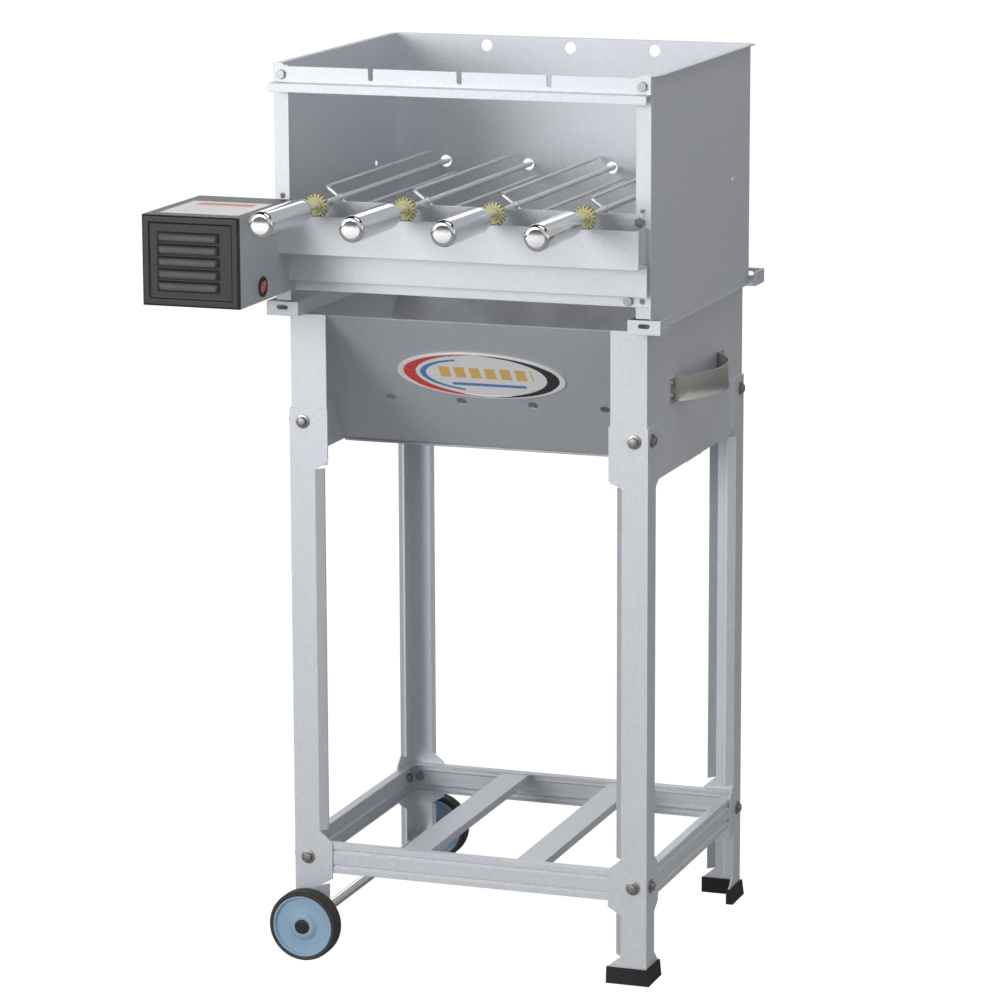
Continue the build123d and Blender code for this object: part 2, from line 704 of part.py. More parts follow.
hood_side_left = make_hood_side(-1)
hood_side_left.part.label = "hood_side_left"
export_step(hood_side_left.part, "parts/hood_side_left.step")
hood_side_right = make_hood_side(1)
hood_side_right.part.label = "hood_side_right"
export_step(hood_side_right.part, "parts/hood_side_right.step")

back_face = hood_back_y - 2 * sheet      # inner face of the back panel
with BuildPart() as hood_back_panel:
    block(cx - hood_half + sheet, cx + hood_half - sheet, back_face, back_face + sheet, rail_base, hood_top)
    block(cx - hood_half + sheet, cx + hood_half - sheet, back_face + sheet, hood_back_y + hem_width,
          hood_top - sheet, hood_top)
    for x in spit_xs:
        hole_y(x, back_face, spit_height, spit_hole_radius, 10)
    for x in skewer_xs:
        hole_y(x, back_face, skewer_height, spit_hole_radius, 8)
    for sx in (-1, 1):
        # Notch that lets the support rail's inner wall pass under the panel.
        inner = cx + sx * ear_inner
        block(inner - sx * 0.6, inner + sx * (sheet + 0.6), back_face - 1, hood_back_y + 1,
              rail_base - 1, ear_top + 0.5, Mode.SUBTRACT)
hood_back_panel.part.label = "hood_back_panel"
export_step(hood_back_panel.part, "parts/hood_back_panel.step")

upstand_top = hood_top - 1.5
ledge_z = hood_top - 20.0
ledge_reach = 20.0
lip_drop = 10.0
skewer_slot = 6.0
skewer_floor = skewer_height - 4.0
ear_rise = 2.4

with BuildPart() as top_slotted_rail:
    rail_t = 2.0
    face = hood_front_y
    with BuildSketch(Plane.XZ.offset(-face)):
        with BuildLine():
            w = hood_half
            Polyline((cx - w, ledge_z), (cx + w, ledge_z), (cx + w, hood_top + ear_rise),
                     (cx + w - 11, hood_top + ear_rise), (cx + w - 15, upstand_top),
                     (cx - w + 15, upstand_top), (cx - w + 11, hood_top + ear_rise),
                     (cx - w, hood_top + ear_rise), close=True)
        make_face()
        for x in skewer_xs:
            with Locations((x, skewer_floor + 10 + skewer_slot / 2)):
                Rectangle(skewer_slot, 20, mode=Mode.SUBTRACT)
            with Locations((x, skewer_floor + skewer_slot / 2)):
                Circle(skewer_slot / 2, mode=Mode.SUBTRACT)
    extrude(amount=rail_t)
    block(cx - hood_half, cx + hood_half, face - ledge_reach, face, ledge_z - rail_t, ledge_z)
    block(cx - hood_half, cx + hood_half, face - ledge_reach, face - ledge_reach + rail_t,
          ledge_z - lip_drop, ledge_z)
    for sx in (-1, 1):
        hole_y(cx + sx * (hood_half - 10), face, hood_top - 11, bolt_radius + bolt_gap, 8)
top_slotted_rail.part.label = "top_slotted_rail"
export_step(top_slotted_rail.part, "parts/top_slotted_rail.step")

# ---- drive beam ------------------------------------------------------------
beam_x0 = cx + box_right
beam_x1 = cx + hood_half + 0.7
beam_face = fy - beam_front
step_face = fy - 33.5
strip_face = hood_front_y - sheet
beam_top = spit_height - 12.0
beam_step = 872.0
wall_top = spit_height + 1.5
worm_outer = worm_pitch_radius + gear_module
gear_pitch_radius = gear_teeth * gear_module / 2
worm_z = spit_height - gear_pitch_radius - worm_pitch_radius
notch_gap = 0.1

with BuildPart() as beam_front_cover:
    t = sheet
    block(beam_x0, beam_x1, beam_face, beam_face + t, beam_step, beam_top)
    block(beam_x0, beam_x1, beam_face, beam_face + 5, beam_top - t, beam_top)
    block(beam_x0, beam_x1, beam_face, step_face + t, beam_step, beam_step + t)
    block(beam_x0, beam_x1, step_face, step_face + t, beam_mid, beam_step + t)
    block(beam_x0, beam_x1, step_face, strip_face + t, beam_mid, beam_mid + t)
    block(beam_x0, beam_x1, strip_face, strip_face + t, beam_low, beam_mid + t)
    for sx in (-1, 1):
        hole_y(cx + sx * (hood_half - 9.5), strip_face, beam_low + 7, bolt_radius + bolt_gap, 8)
    hole_y(cx + hood_half - strip_bolt, strip_face, beam_low + 7, bolt_radius + bolt_gap, 8)
beam_front_cover.part.label = "beam_front_cover"
export_step(beam_front_cover.part, "parts/beam_front_cover.step")

with BuildPart() as beam_rear_wall:
    right_end = cx + hood_half - 14
    block(beam_x0, right_end, strip_face, strip_face + sheet, beam_mid + sheet + 1, wall_top)
    block(right_end - 1, cx + hood_half - 9, strip_face, strip_face + sheet, wall_top - 17, wall_top - 1)
    for x in spit_xs:
        hole_y(x, strip_face, spit_height, rod_radius + notch_gap, 10)
        block(x - rod_radius - notch_gap, x + rod_radius + notch_gap, strip_face - 3, strip_face + 3,
              spit_height, spit_height + 10, Mode.SUBTRACT)
    hole_y(cx + hood_half - 13, strip_face, spit_height - 7.5, bolt_radius + bolt_gap, 8)
beam_rear_wall.part.label = "beam_rear_wall"
export_step(beam_rear_wall.part, "parts/beam_rear_wall.step")

end_wall = cx + hood_half - 5.0
with BuildPart() as beam_end_plate:
    block(end_wall - 3, end_wall, beam_face + sheet, strip_face, beam_step + sheet, beam_top - sheet)
    hole_x(end_wall, gear_y, worm_z, 6.0, 12)
beam_end_plate.part.label = "beam_end_plate"
export_step(beam_end_plate.part, "parts/beam_end_plate.step")

with BuildPart() as shaft_bush:
    rod_x(end_wall - 3, end_wall, gear_y, worm_z, 6.0)
    rod_x(end_wall - 5, end_wall - 3, gear_y, worm_z, 7.5)
    rod_x(end_wall - 10, end_wall + 10, gear_y, worm_z, shaft_radius + run_gap, Mode.SUBTRACT)
shaft_bush.part.label = "shaft_bush"
export_step(shaft_bush.part, "parts/shaft_bush.step")

# ---- drive shaft with worms ------------------------------------------------
shaft_x0 = cx + box_right - 40.0
shaft_x1 = end_wall - 0.5
worm_length = 24.0
worm_root = worm_pitch_radius - 1.2 * gear_module
axial_pitch = pi * gear_module
mesh_play = 0.95             # play between thread and teeth, both flanks together
tooth_root = 0.615 * axial_pitch
tooth_tip = 0.55 * axial_pitch
thread_root = axial_pitch - tooth_tip - mesh_play
thread_tip = axial_pitch - tooth_root - mesh_play

with BuildPart() as drive_shaft:
    rod_x(shaft_x0, shaft_x1, gear_y, worm_z, shaft_radius)
    for x in (cx + box_right - 16.0, end_wall - 12.0):
        rod_x(x, x + 6, gear_y, worm_z, 8.0)
drive_shaft.part.label = "drive_shaft"
export_step(drive_shaft.part, "parts/drive_shaft.step")


def make_worm():
    # Right-hand single-start worm on its own axis, with a thread gap facing the wheel.
    turns_length = worm_length - 6.0
    with BuildPart() as worm:
        Cylinder(worm_root, worm_length)
        with BuildLine():
            path = Helix(axial_pitch, turns_length, worm_root - 0.3, center=(0, 0, -turns_length / 2))
        with BuildSketch(Plane(origin=path @ 0, x_dir=(1, 0, 0), z_dir=path % 0)):
            with BuildLine():
                height = worm_outer - worm_root + 0.3
                Polyline((0, -thread_root / 2), (height, -thread_tip / 2),
                         (height, thread_tip / 2), (0, thread_root / 2), close=True)
            make_face()
        sweep(path=path, is_frenet=True)
        Cylinder(shaft_radius, worm_length + 4, mode=Mode.SUBTRACT)
    return worm


worm_shape = make_worm()
with BuildPart() as drive_worms:
    for x in spit_xs:
        # The thread starts at angle 0 and winds up by 360 degrees per pitch along the worm.
        mid_angle = (worm_length - 6.0) / 2 / axial_pitch * 360.0
        with Locations(Location((x, gear_y, worm_z), (0, 90, 0))):
            add(worm_shape.part.rotate(Axis.Z, 180.0 - mid_angle + 180.0))
drive_worms.part.label = "drive_worms"
export_step(drive_worms.part, "parts/drive_worms.step")

# ---- spits -----------------------------------------------------------------
gear_root = gear_pitch_radius - 1.2 * gear_module
gear_outer = gear_pitch_radius + gear_module
lead = degrees(atan2(axial_pitch, 2 * pi * worm_pitch_radius))
neck_radius = 3.5
hub_radius = 7.5
fork_y = fy + 20.0
prong_x = 16.8
prong_z = 12.6
prong_radius = 2.2
prong_end = back_face - 2.5
tip_end = by + 7.0
handle_rear = fy + handle_rear_local
handle_front = fy + handle_front_local


def make_spit(x):
    # Rod with a turned neck and a pointed tip, and two prongs welded on through a cross piece.
    tilt = degrees(atan2(prong_z, prong_x))
    reach = hypot(prong_x, prong_z)
    with BuildPart() as spit:
        rod_y(x, handle_rear - 10, tip_end - 12, spit_height, rod_radius)
        with Locations(Location((x, tip_end - 6, spit_height), (-90, 0, 0))):
            Cone(rod_radius, 0.8, 12)
        with Locations(Location((x, fork_y, spit_height), (0, tilt, 0))):
            Box(2 * reach, 2 * prong_radius, 2 * prong_radius)
        for side in (-1, 1):
            px = x - side * prong_x
            pz = spit_height + side * prong_z
            rod_y(px, fork_y - prong_radius, prong_end - 14, pz, prong_radius)
            with Locations(Location((px, prong_end - 7, pz), (-90, 0, 0))):
                Cone(prong_radius, 0.6, 14)
        rod_y(x, fork_y - 6, fork_y + 6, spit_height, rod_radius + 2.5)
    return spit


def make_gear(x):
    # Spur wheel whose teeth lean by the worm's lead angle, one tooth pointing straight down.
    with BuildPart() as gear:
        rod_y(x, gear_y - gear_width / 2, gear_y + gear_width / 2, spit_height, gear_root)
        rod_y(x, gear_y - gear_width / 2 - 2.5, gear_y + gear_width / 2 + 2.5, spit_height, hub_radius)
        for i in range(gear_teeth):
            angle = i * 360.0 / gear_teeth
            spot = Location((x, gear_y, spit_height), (0, angle, 0))
            lean = Location((0, 0, 0), (0, 0, lead))
            with BuildSketch(Plane(spot * lean * Location((0, 0, 0), (90, 0, 0)))):
                with BuildLine():
                    Polyline((-tooth_root / 2, -gear_root + 0.6), (tooth_root / 2, -gear_root + 0.6),
                             (tooth_tip / 2, -gear_outer), (-tooth_tip / 2, -gear_outer), close=True)
                make_face()
            extrude(amount=gear_width / 2 - 0.3, both=True)
        rod_y(x, gear_y - 20, gear_y + 20, spit_height, rod_radius, Mode.SUBTRACT)
    return gear


def make_handle(x):
    # Chrome tube handle with a chamfered front cap and a rounded rear end.
    r = handle_radius
    y0 = handle_front
    y1 = handle_rear - bullet_length
    ring = [(0, y0), (r - 4.0, y0), (r - 1.2, y0 + 1.2), (r, y0 + 4.0), (r, y1), (r * 0.97, y1 + 6)]
    ring += [(r * 0.87, y1 + 12), (r * 0.68, y1 + 17), (neck_radius + 1.5, handle_rear)]
    ring += [(rod_radius, handle_rear)]
    ring += [(rod_radius, handle_rear - 10), (0, handle_rear - 10)]
    with BuildPart() as handle:
        with BuildSketch(Plane.XY.offset(spit_height)):
            with BuildLine():
                Polyline(*[(x + a, b) for a, b in ring], close=True)
            make_face()
        revolve(axis=Axis((x, 0, spit_height), (0, 1, 0)), revolution_arc=360)
    return handle


for i, x in enumerate(spit_xs):
    number = i + 1
    spit = make_spit(x)
    spit.part.label = f"spit_rod_{number}"
    export_step(spit.part, f"parts/spit_rod_{number}.step")
    gear = make_gear(x)
    gear.part.label = f"spit_gear_{number}"
    export_step(gear.part, f"parts/spit_gear_{number}.step")
    handle = make_handle(x)
    handle.part.label = f"spit_handle_{number}"
    export_step(handle.part, f"parts/spit_handle_{number}.step")

# ---- motor box -------------------------------------------------------------
bx0 = cx + box_left
bx1 = cx + box_right
box_y1 = hood_front_y
box_y0 = box_y1 - box_depth
bz0 = box_bottom
bz1 = box_bottom + box_height
switch_y = box_y0 + 66.0
switch_z = bz0 + 17.0
switch_hole = 10.5
inlet_x = bx0 + 40.0
inlet_z = bz0 + 30.0
blank_y = box_y0 + 99.0      # blanked second switch place beside the switch
blank_z = bz0 + 16.0
groove = 0.8
groove_deep = 0.4
cover_thick = 2.0

with BuildPart() as motor_box_shell:
    block(bx0, bx1, box_y0, box_y1, bz0, bz1)
    block(bx0 + sheet, bx1 - sheet, box_y0 - 1, box_y1 - sheet, bz0 + sheet, bz1 - sheet, Mode.SUBTRACT)
    hole_x(bx1, gear_y, worm_z, 7.0, 10)
    hole_x(bx1, switch_y, switch_z, switch_hole, 10)
    block(inlet_x - 10, inlet_x + 10, box_y1 - 5, box_y1 + 5, inlet_z - 7, inlet_z + 7, Mode.SUBTRACT)
    with BuildSketch(Plane.YZ.offset(bx1)):
        with Locations((blank_y, blank_z)):
            Rectangle(26, 13)
            Rectangle(26 - 2 * groove, 13 - 2 * groove, mode=Mode.SUBTRACT)
    extrude(amount=-groove_deep, mode=Mode.SUBTRACT)
    hole_y(cx - hood_half + 9.5, box_y1, spit_height - 20, bolt_radius + bolt_gap, 6)
    hole_y(cx - hood_half + 9.5, box_y1, beam_low + 14, bolt_radius + bolt_gap, 6)
motor_box_shell.part.label = "motor_box_shell"
export_step(motor_box_shell.part, "parts/motor_box_shell.step")

louvre_pitch = 14.3
louvre_width = 72.0
louvre_mid_z = bz0 + 53.0
louvre_mid_x = (bx0 + bx1) / 2 - 3.0

with BuildPart() as louvred_cover:
    block(bx0, bx1, box_y0 - cover_thick, box_y0, bz0, bz1)
    block(bx0 + sheet + 0.2, bx1 - sheet - 0.2, box_y0, box_y0 + 8, bz0 + sheet + 0.2, bz1 - sheet - 0.2)
    block(bx0 + 4, bx1 - 4, box_y0 - 0.01, box_y0 + 9, bz0 + 4, bz1 - 4, Mode.SUBTRACT)
    for i in range(5):
        z = louvre_mid_z + (i - 2) * louvre_pitch
        block(louvre_mid_x - louvre_width / 2, louvre_mid_x + louvre_width / 2,
              box_y0 - cover_thick - 1, box_y0 + 1, z - 3.5, z + 1.5, Mode.SUBTRACT)
        with BuildSketch(Plane.YZ.offset(louvre_mid_x - louvre_width / 2 - 1)):
            with BuildLine():
                front = box_y0 - cover_thick
                Polyline((front + 0.5, z + 5.0), (front + 0.5, z + 1.5), (front - 2.4, z - 3.0),
                         (front - 3.6, z - 2.4), (front - 2.0, z + 3.2), close=True)
            make_face()
        extrude(amount=louvre_width + 2)
louvred_cover.part.label = "louvred_cover"
export_step(louvred_cover.part, "parts/louvred_cover.step")

with BuildPart() as box_label:
    block(bx0 + 14, bx1 - 8, box_y0 + 18, box_y0 + 118, bz1, bz1 + 0.4)
box_label.part.label = "box_label"
export_step(box_label.part, "parts/box_label.step")

gearbox_x0 = bx1 - 86.0
gearbox_x1 = bx1 - 42.0
with BuildPart() as gear_motor:
    block(gearbox_x0, gearbox_x1, gear_y - 40, gear_y + 16, worm_z - 62, worm_z + 14)
    rod_x(gearbox_x1, gearbox_x1 + 8, gear_y, worm_z, 9.0)
    rod_x(gearbox_x0 - 26, gearbox_x0, gear_y - 12, worm_z - 26, 24.0)
    rod_x(gearbox_x1 - 4, gearbox_x1 + 20, gear_y, worm_z, shaft_radius + run_gap, Mode.SUBTRACT)
gear_motor.part.label = "gear_motor"
export_step(gear_motor.part, "parts/gear_motor.step")

with BuildPart() as motor_bracket:
    floor_z = bz0 + sheet
    top_z = worm_z - 62
    block(gearbox_x0, gearbox_x1, gear_y - 40, gear_y + 16, top_z - 2, top_z)
    for y in (gear_y - 40, gear_y + 14):
        block(gearbox_x0, gearbox_x1, y, y + 2, floor_z, top_z)
    block(gearbox_x0, gearbox_x1, gear_y - 55, gear_y - 38, floor_z, floor_z + 2)
    block(gearbox_x0, gearbox_x1, gear_y + 14, gear_y + 30, floor_z, floor_z + 2)
motor_bracket.part.label = "motor_bracket"
export_step(motor_bracket.part, "parts/motor_bracket.step")

bezel_radius = 12.0
pocket_radius = 9.3
rocker_radius = 8.4
pin_radius = 1.2
rocker_tilt = 8.0
pivot_x = bx1 - 3.0

with BuildPart() as switch_body:
    rod_x(bx1 - 18, bx1, switch_y, switch_z, switch_hole)
    rod_x(bx1, bx1 + 2, switch_y, switch_z, bezel_radius)
    fillet(switch_body.edges().filter_by(GeomType.CIRCLE).group_by(Axis.X)[-1], 0.8)
    rod_x(bx1 - 12, bx1 + 4, switch_y, switch_z, pocket_radius, Mode.SUBTRACT)
    rod_y(pivot_x, switch_y - 9.9, switch_y + 9.9, switch_z, pin_radius + run_gap, Mode.SUBTRACT)
switch_body.part.label = "switch_body"
export_step(switch_body.part, "parts/switch_body.step")

with BuildPart() as switch_rocker:
    with Locations(Location((pivot_x, switch_y, switch_z), (0, 90 + rocker_tilt, 0))):
        Cylinder(rocker_radius, 9.0)
    rod_y(pivot_x, switch_y - 9.6, switch_y + 9.6, switch_z, pin_radius)
switch_rocker.part.label = "switch_rocker"
export_step(switch_rocker.part, "parts/switch_rocker.step")

with BuildPart() as power_inlet:
    # Mains inlet on the back wall of the box.
    block(inlet_x - 10, inlet_x + 10, box_y1 - 16, box_y1, inlet_z - 7, inlet_z + 7)
    block(inlet_x - 13, inlet_x + 13, box_y1, box_y1 + 2, inlet_z - 9.5, inlet_z + 9.5)
    block(inlet_x - 8, inlet_x + 8, box_y1 - 13, box_y1 + 3, inlet_z - 5, inlet_z + 5, Mode.SUBTRACT)
    for x in (inlet_x - 3.5, inlet_x + 3.5):
        rod_y(x, box_y1 - 13.5, box_y1 - 3, inlet_z, 1.2)
power_inlet.part.label = "power_inlet"
export_step(power_inlet.part, "parts/power_inlet.step")

# ---- hood and beam bolts ---------------------------------------------------
small_head = 3.6
hood_bolt_spots = []
for sx in (-1, 1):
    hood_bolt_spots.append(((cx + sx * (hood_half - 10), hood_front_y - 2, hood_top - 11),
                            (0, -1, 0), 2 + sheet))
hood_bolt_spots.append(((cx + hood_half - 13, strip_face, spit_height - 7.5), (0, -1, 0), 2 * sheet))
hood_bolt_spots.append(((cx + hood_half - strip_bolt, strip_face, beam_low + 7), (0, -1, 0), 2 * sheet))

with BuildPart() as hood_bolts:
    for spot, out, stack in hood_bolt_spots:
        plane = Plane(origin=spot, z_dir=out)
        hexagon(plane, small_head)
        with BuildSketch(plane):
            Circle(bolt_radius)
        extrude(amount=-(stack + 5.0))
        with BuildSketch(plane.offset(-stack)):
            RegularPolygon(5.2, 6)
        extrude(amount=-4.0)
hood_bolts.part.label = "hood_bolts"
export_step(hood_bolts.part, "parts/hood_bolts.step")
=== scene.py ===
import bpy
import bmesh
import math
import numpy as np
from mathutils import Matrix, Vector


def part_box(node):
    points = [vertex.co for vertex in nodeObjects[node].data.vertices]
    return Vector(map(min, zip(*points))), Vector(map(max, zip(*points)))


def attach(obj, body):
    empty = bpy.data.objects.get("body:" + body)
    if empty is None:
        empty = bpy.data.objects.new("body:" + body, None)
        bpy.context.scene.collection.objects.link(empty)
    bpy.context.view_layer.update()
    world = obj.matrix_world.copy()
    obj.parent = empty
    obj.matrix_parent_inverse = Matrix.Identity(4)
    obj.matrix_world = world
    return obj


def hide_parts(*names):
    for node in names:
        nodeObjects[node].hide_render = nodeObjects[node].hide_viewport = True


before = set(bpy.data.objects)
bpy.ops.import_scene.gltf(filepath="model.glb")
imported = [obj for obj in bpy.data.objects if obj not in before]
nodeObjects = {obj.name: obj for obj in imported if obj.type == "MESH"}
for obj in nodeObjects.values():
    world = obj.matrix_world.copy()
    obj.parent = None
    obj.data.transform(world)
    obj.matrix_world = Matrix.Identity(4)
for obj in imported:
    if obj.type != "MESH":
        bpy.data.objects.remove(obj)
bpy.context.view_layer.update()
mm = 0.001


def meshFrom(name, grids, sharpAngle=35):
    # Joins point grids into one mesh. Each grid is (points[nu, nv, 3], closeU, closeV);
    # neighbouring points in both directions make the quads. Coincident points are merged at the end.
    allVerts, allFaces, start = [], [], 0
    for points, closeU, closeV in grids:
        nu, nv = points.shape[:2]
        u = np.arange(nu if closeU else nu - 1)
        v = np.arange(nv if closeV else nv - 1)
        uu, vv = np.meshgrid(u, v, indexing="ij")
        un, vn = (uu + 1) % nu, (vv + 1) % nv
        quads = np.stack([uu * nv + vv, un * nv + vv, un * nv + vn, uu * nv + vn], -1).reshape(-1, 4)
        allVerts.append(points.reshape(-1, 3))
        allFaces.append(quads + start)
        start += nu * nv
    mesh = bpy.data.meshes.new(name)
    mesh.from_pydata(np.concatenate(allVerts).tolist(), [], np.concatenate(allFaces).tolist())
    bm = bmesh.new()
    bm.from_mesh(mesh)
    bmesh.ops.remove_doubles(bm, verts=bm.verts, dist=0.00001)
    bmesh.ops.dissolve_degenerate(bm, edges=bm.edges, dist=0.000005)
    bmesh.ops.recalc_face_normals(bm, faces=bm.faces)
    bm.to_mesh(mesh)
    bm.free()
    mesh.polygons.foreach_set("use_smooth", np.ones(len(mesh.polygons), bool))
    mesh.set_sharp_from_angle(angle=math.radians(sharpAngle))
    made = bpy.data.objects.new(name, mesh)
    bpy.context.collection.objects.link(made)
    return made


def frameOf(direction):
    # Two unit vectors square to the direction and to each other.
    d = np.array(direction, float) / np.linalg.norm(direction)
    helper = np.array([0.0, 0.0, 1.0]) if abs(d[2]) < 0.9 else np.array([1.0, 0.0, 0.0])
    side = np.cross(helper, d)
    side /= np.linalg.norm(side)
    return d, side, np.cross(d, side)


def turned(profile, origin, direction, sides=72, radiusRule=None):
    # Surface of revolution: point(angle, k) = origin + along_k * direction
    # + radius_k * (cos(angle) * side + sin(angle) * up).
    d, side, up = frameOf(direction)
    angle = np.linspace(0, 2 * math.pi, sides, endpoint=False)
    radius = np.array([p[0] for p in profile])
    along = np.array([p[1] for p in profile])
    r = np.broadcast_to(radius, (sides, len(profile)))
    if radiusRule is not None:
        r = radiusRule(angle[:, None], r)
    ring = np.cos(angle)[:, None, None] * side + np.sin(angle)[:, None, None] * up
    points = np.array(origin, float) + along[None, :, None] * d + r[:, :, None] * ring
    return points, True, False


def rounded(corners, radius, steps=5):
    # Rounds the corners of a (radius, along) profile with a quadratic blend of the given size.
    pts = np.array(corners, float)
    out = [pts[0]]
    for before, here, after in zip(pts[:-2], pts[1:-1], pts[2:]):
        inward, outward = before - here, after - here
        reach = min(radius, 0.45 * np.linalg.norm(inward), 0.45 * np.linalg.norm(outward))
        a = here + inward / np.linalg.norm(inward) * reach
        b = here + outward / np.linalg.norm(outward) * reach
        t = np.linspace(0, 1, steps)[:, None]
        out.extend((1 - t) ** 2 * a + 2 * t * (1 - t) * here + t ** 2 * b)
    out.append(pts[-1])
    return [tuple(p) for p in out]


def tube(path, radii, sides=20):
    # Sweeps a circle along a path; the frame is carried forward so it does not twist.
    path = np.array(path, float)
    tangent = np.gradient(path, axis=0)
    tangent /= np.linalg.norm(tangent, axis=1)[:, None]
    _, side, _ = frameOf(tangent[0])
    sidesOut = []
    for t in tangent:
        side = side - np.dot(side, t) * t
        side = side / np.linalg.norm(side)
        sidesOut.append(side)
    sidesOut = np.array(sidesOut)
    ups = np.cross(tangent, sidesOut)
    angle = np.linspace(0, 2 * math.pi, sides, endpoint=False)
    radii = np.broadcast_to(np.array(radii, float), (len(path),))
    ring = np.cos(angle)[None, :, None] * sidesOut[:, None] + np.sin(angle)[None, :, None] * ups[:, None]
    return path[:, None] + radii[:, None, None] * ring, False, True


def centreOf(node):
    low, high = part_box(node)
    return (np.array(low) + np.array(high)) / 2, np.array(low), np.array(high)


def newGroup(name, inputs, outputs):
    group = bpy.data.node_groups.new(name, "ShaderNodeTree")
    for label, kind, value in inputs:
        socket = group.interface.new_socket(label, in_out="INPUT", socket_type=kind)
        if value is not None:
            socket.default_value = value
    for label, kind in outputs:
        group.interface.new_socket(label, in_out="OUTPUT", socket_type=kind)
    return group, group.nodes.new("NodeGroupInput"), group.nodes.new("NodeGroupOutput")


def mathNode(tree, operation, a, b=None, clamp=False):
    node = tree.nodes.new("ShaderNodeMath")
    node.operation = operation
    node.use_clamp = clamp
    for socket, value in zip(node.inputs, (a, b)):
        if value is None:
            continue
        if isinstance(value, (int, float)):
            socket.default_value = value
        else:
            tree.links.new(value, socket)
    return node.outputs[0]


def mixColour(tree, factor, a, b, blend="MIX"):
    node = tree.nodes.new("ShaderNodeMix")
    node.data_type = "RGBA"
    node.blend_type = blend
    for socket, value in ((node.inputs[0], factor), (node.inputs[6], a), (node.inputs[7], b)):
        if isinstance(value, (int, float)):
            socket.default_value = value
        elif isinstance(value, (tuple, list)):
            socket.default_value = (*value[:3], 1.0)
        else:
            tree.links.new(value, socket)
    return node.outputs[2]


def noiseNode(tree, vector, scale, detail=3.0, roughness=0.55):
    node = tree.nodes.new("ShaderNodeTexNoise")
    tree.links.new(vector, node.inputs["Vector"])
    if isinstance(scale, (int, float)):
        node.inputs["Scale"].default_value = scale
    else:
        tree.links.new(scale, node.inputs["Scale"])
    node.inputs["Detail"].default_value = detail
    node.inputs["Roughness"].default_value = roughness
    return node.outputs["Fac"]


def buildEdgeGroup():
    # Rounded-edge normal, and a mask that is 1 on edges: one minus the dot of the true and rounded normals.
    group, gin, gout = newGroup("softEdge", [("Radius", "NodeSocketFloat", 0.001)],
                                [("Edge", "NodeSocketFloat"), ("Normal", "NodeSocketVector")])
    bevel = group.nodes.new("ShaderNodeBevel")
    bevel.samples = 4
    group.links.new(gin.outputs["Radius"], bevel.inputs["Radius"])
    geometry = group.nodes.new("ShaderNodeNewGeometry")
    dot = group.nodes.new("ShaderNodeVectorMath")
    dot.operation = "DOT_PRODUCT"
    group.links.new(bevel.outputs[0], dot.inputs[0])
    group.links.new(geometry.outputs["Normal"], dot.inputs[1])
    edge = mathNode(group, "SUBTRACT", 1.0, dot.outputs["Value"], True)
    group.links.new(mathNode(group, "MULTIPLY", edge, 5.0, True), gout.inputs["Edge"])
    group.links.new(bevel.outputs[0], gout.inputs["Normal"])
    return group


def buildZincGroup():
    # Zinc coat: small crystal cells of slightly different tone, and a fine grain.
    group, gin, gout = newGroup(
        "zincBloom",
        [("Vector", "NodeSocketVector", None), ("Crystal Scale", "NodeSocketFloat", 120.0),
         ("Grain Scale", "NodeSocketFloat", 1400.0)],
        [("Tone", "NodeSocketFloat"), ("Grain", "NodeSocketFloat")])
    warp = group.nodes.new("ShaderNodeTexNoise")
    warp.inputs["Scale"].default_value = 60.0
    group.links.new(gin.outputs["Vector"], warp.inputs["Vector"])
    shift = group.nodes.new("ShaderNodeVectorMath")
    shift.operation = "MULTIPLY_ADD"
    group.links.new(warp.outputs["Color"], shift.inputs[0])
    shift.inputs[1].default_value = (0.006, 0.006, 0.006)
    group.links.new(gin.outputs["Vector"], shift.inputs[2])
    cells = group.nodes.new("ShaderNodeTexVoronoi")
    group.links.new(shift.outputs[0], cells.inputs["Vector"])
    group.links.new(gin.outputs["Crystal Scale"], cells.inputs["Scale"])
    split = group.nodes.new("ShaderNodeSeparateColor")
    group.links.new(cells.outputs["Color"], split.inputs[0])
    group.links.new(split.outputs[0], gout.inputs["Tone"])
    grain = noiseNode(group, gin.outputs["Vector"], gin.outputs["Grain Scale"], 2.0)
    group.links.new(grain, gout.inputs["Grain"])
    return group


def buildBrushGroup():
    # Fine lines along one axis: noise squeezed across the lines and stretched along them.
    group, gin, gout = newGroup(
        "brushLines",
        [("Vector", "NodeSocketVector", None), ("Stretch", "NodeSocketVector", (1, 1, 1)),
         ("Scale", "NodeSocketFloat", 900.0)],
        [("Lines", "NodeSocketFloat")])
    scaled = group.nodes.new("ShaderNodeVectorMath")
    scaled.operation = "MULTIPLY"
    group.links.new(gin.outputs["Vector"], scaled.inputs[0])
    group.links.new(gin.outputs["Stretch"], scaled.inputs[1])
    group.links.new(noiseNode(group, scaled.outputs[0], gin.outputs["Scale"], 2.0), gout.inputs["Lines"])
    return group


def buildDustAndShadeGroup():
    # Patchy noise, heavier on faces that look up: dust on the grate, painted shade on the firebox back and ash
    # tray.
    group, gin, gout = newGroup(
        "dustAndShadePatches", [("Vector", "NodeSocketVector", None), ("Amount", "NodeSocketFloat", 0.3)],
        [("PatchMask", "NodeSocketFloat")])
    geometry = group.nodes.new("ShaderNodeNewGeometry")
    split = group.nodes.new("ShaderNodeSeparateXYZ")
    group.links.new(geometry.outputs["Normal"], split.inputs[0])
    facing = mathNode(group, "MULTIPLY_ADD", split.outputs["Z"], 0.5)
    patches = noiseNode(group, gin.outputs["Vector"], 22.0, 5.0)
    both = mathNode(group, "MULTIPLY", mathNode(group, "ADD", facing, 0.5), patches)
    group.links.new(mathNode(group, "MULTIPLY", both, gin.outputs["Amount"], True), gout.inputs["PatchMask"])
    return group


softEdge = buildEdgeGroup()
zincBloom = buildZincGroup()
brushLines = buildBrushGroup()
dustAndShadePatches = buildDustAndShadeGroup()
print("shader groups ready")


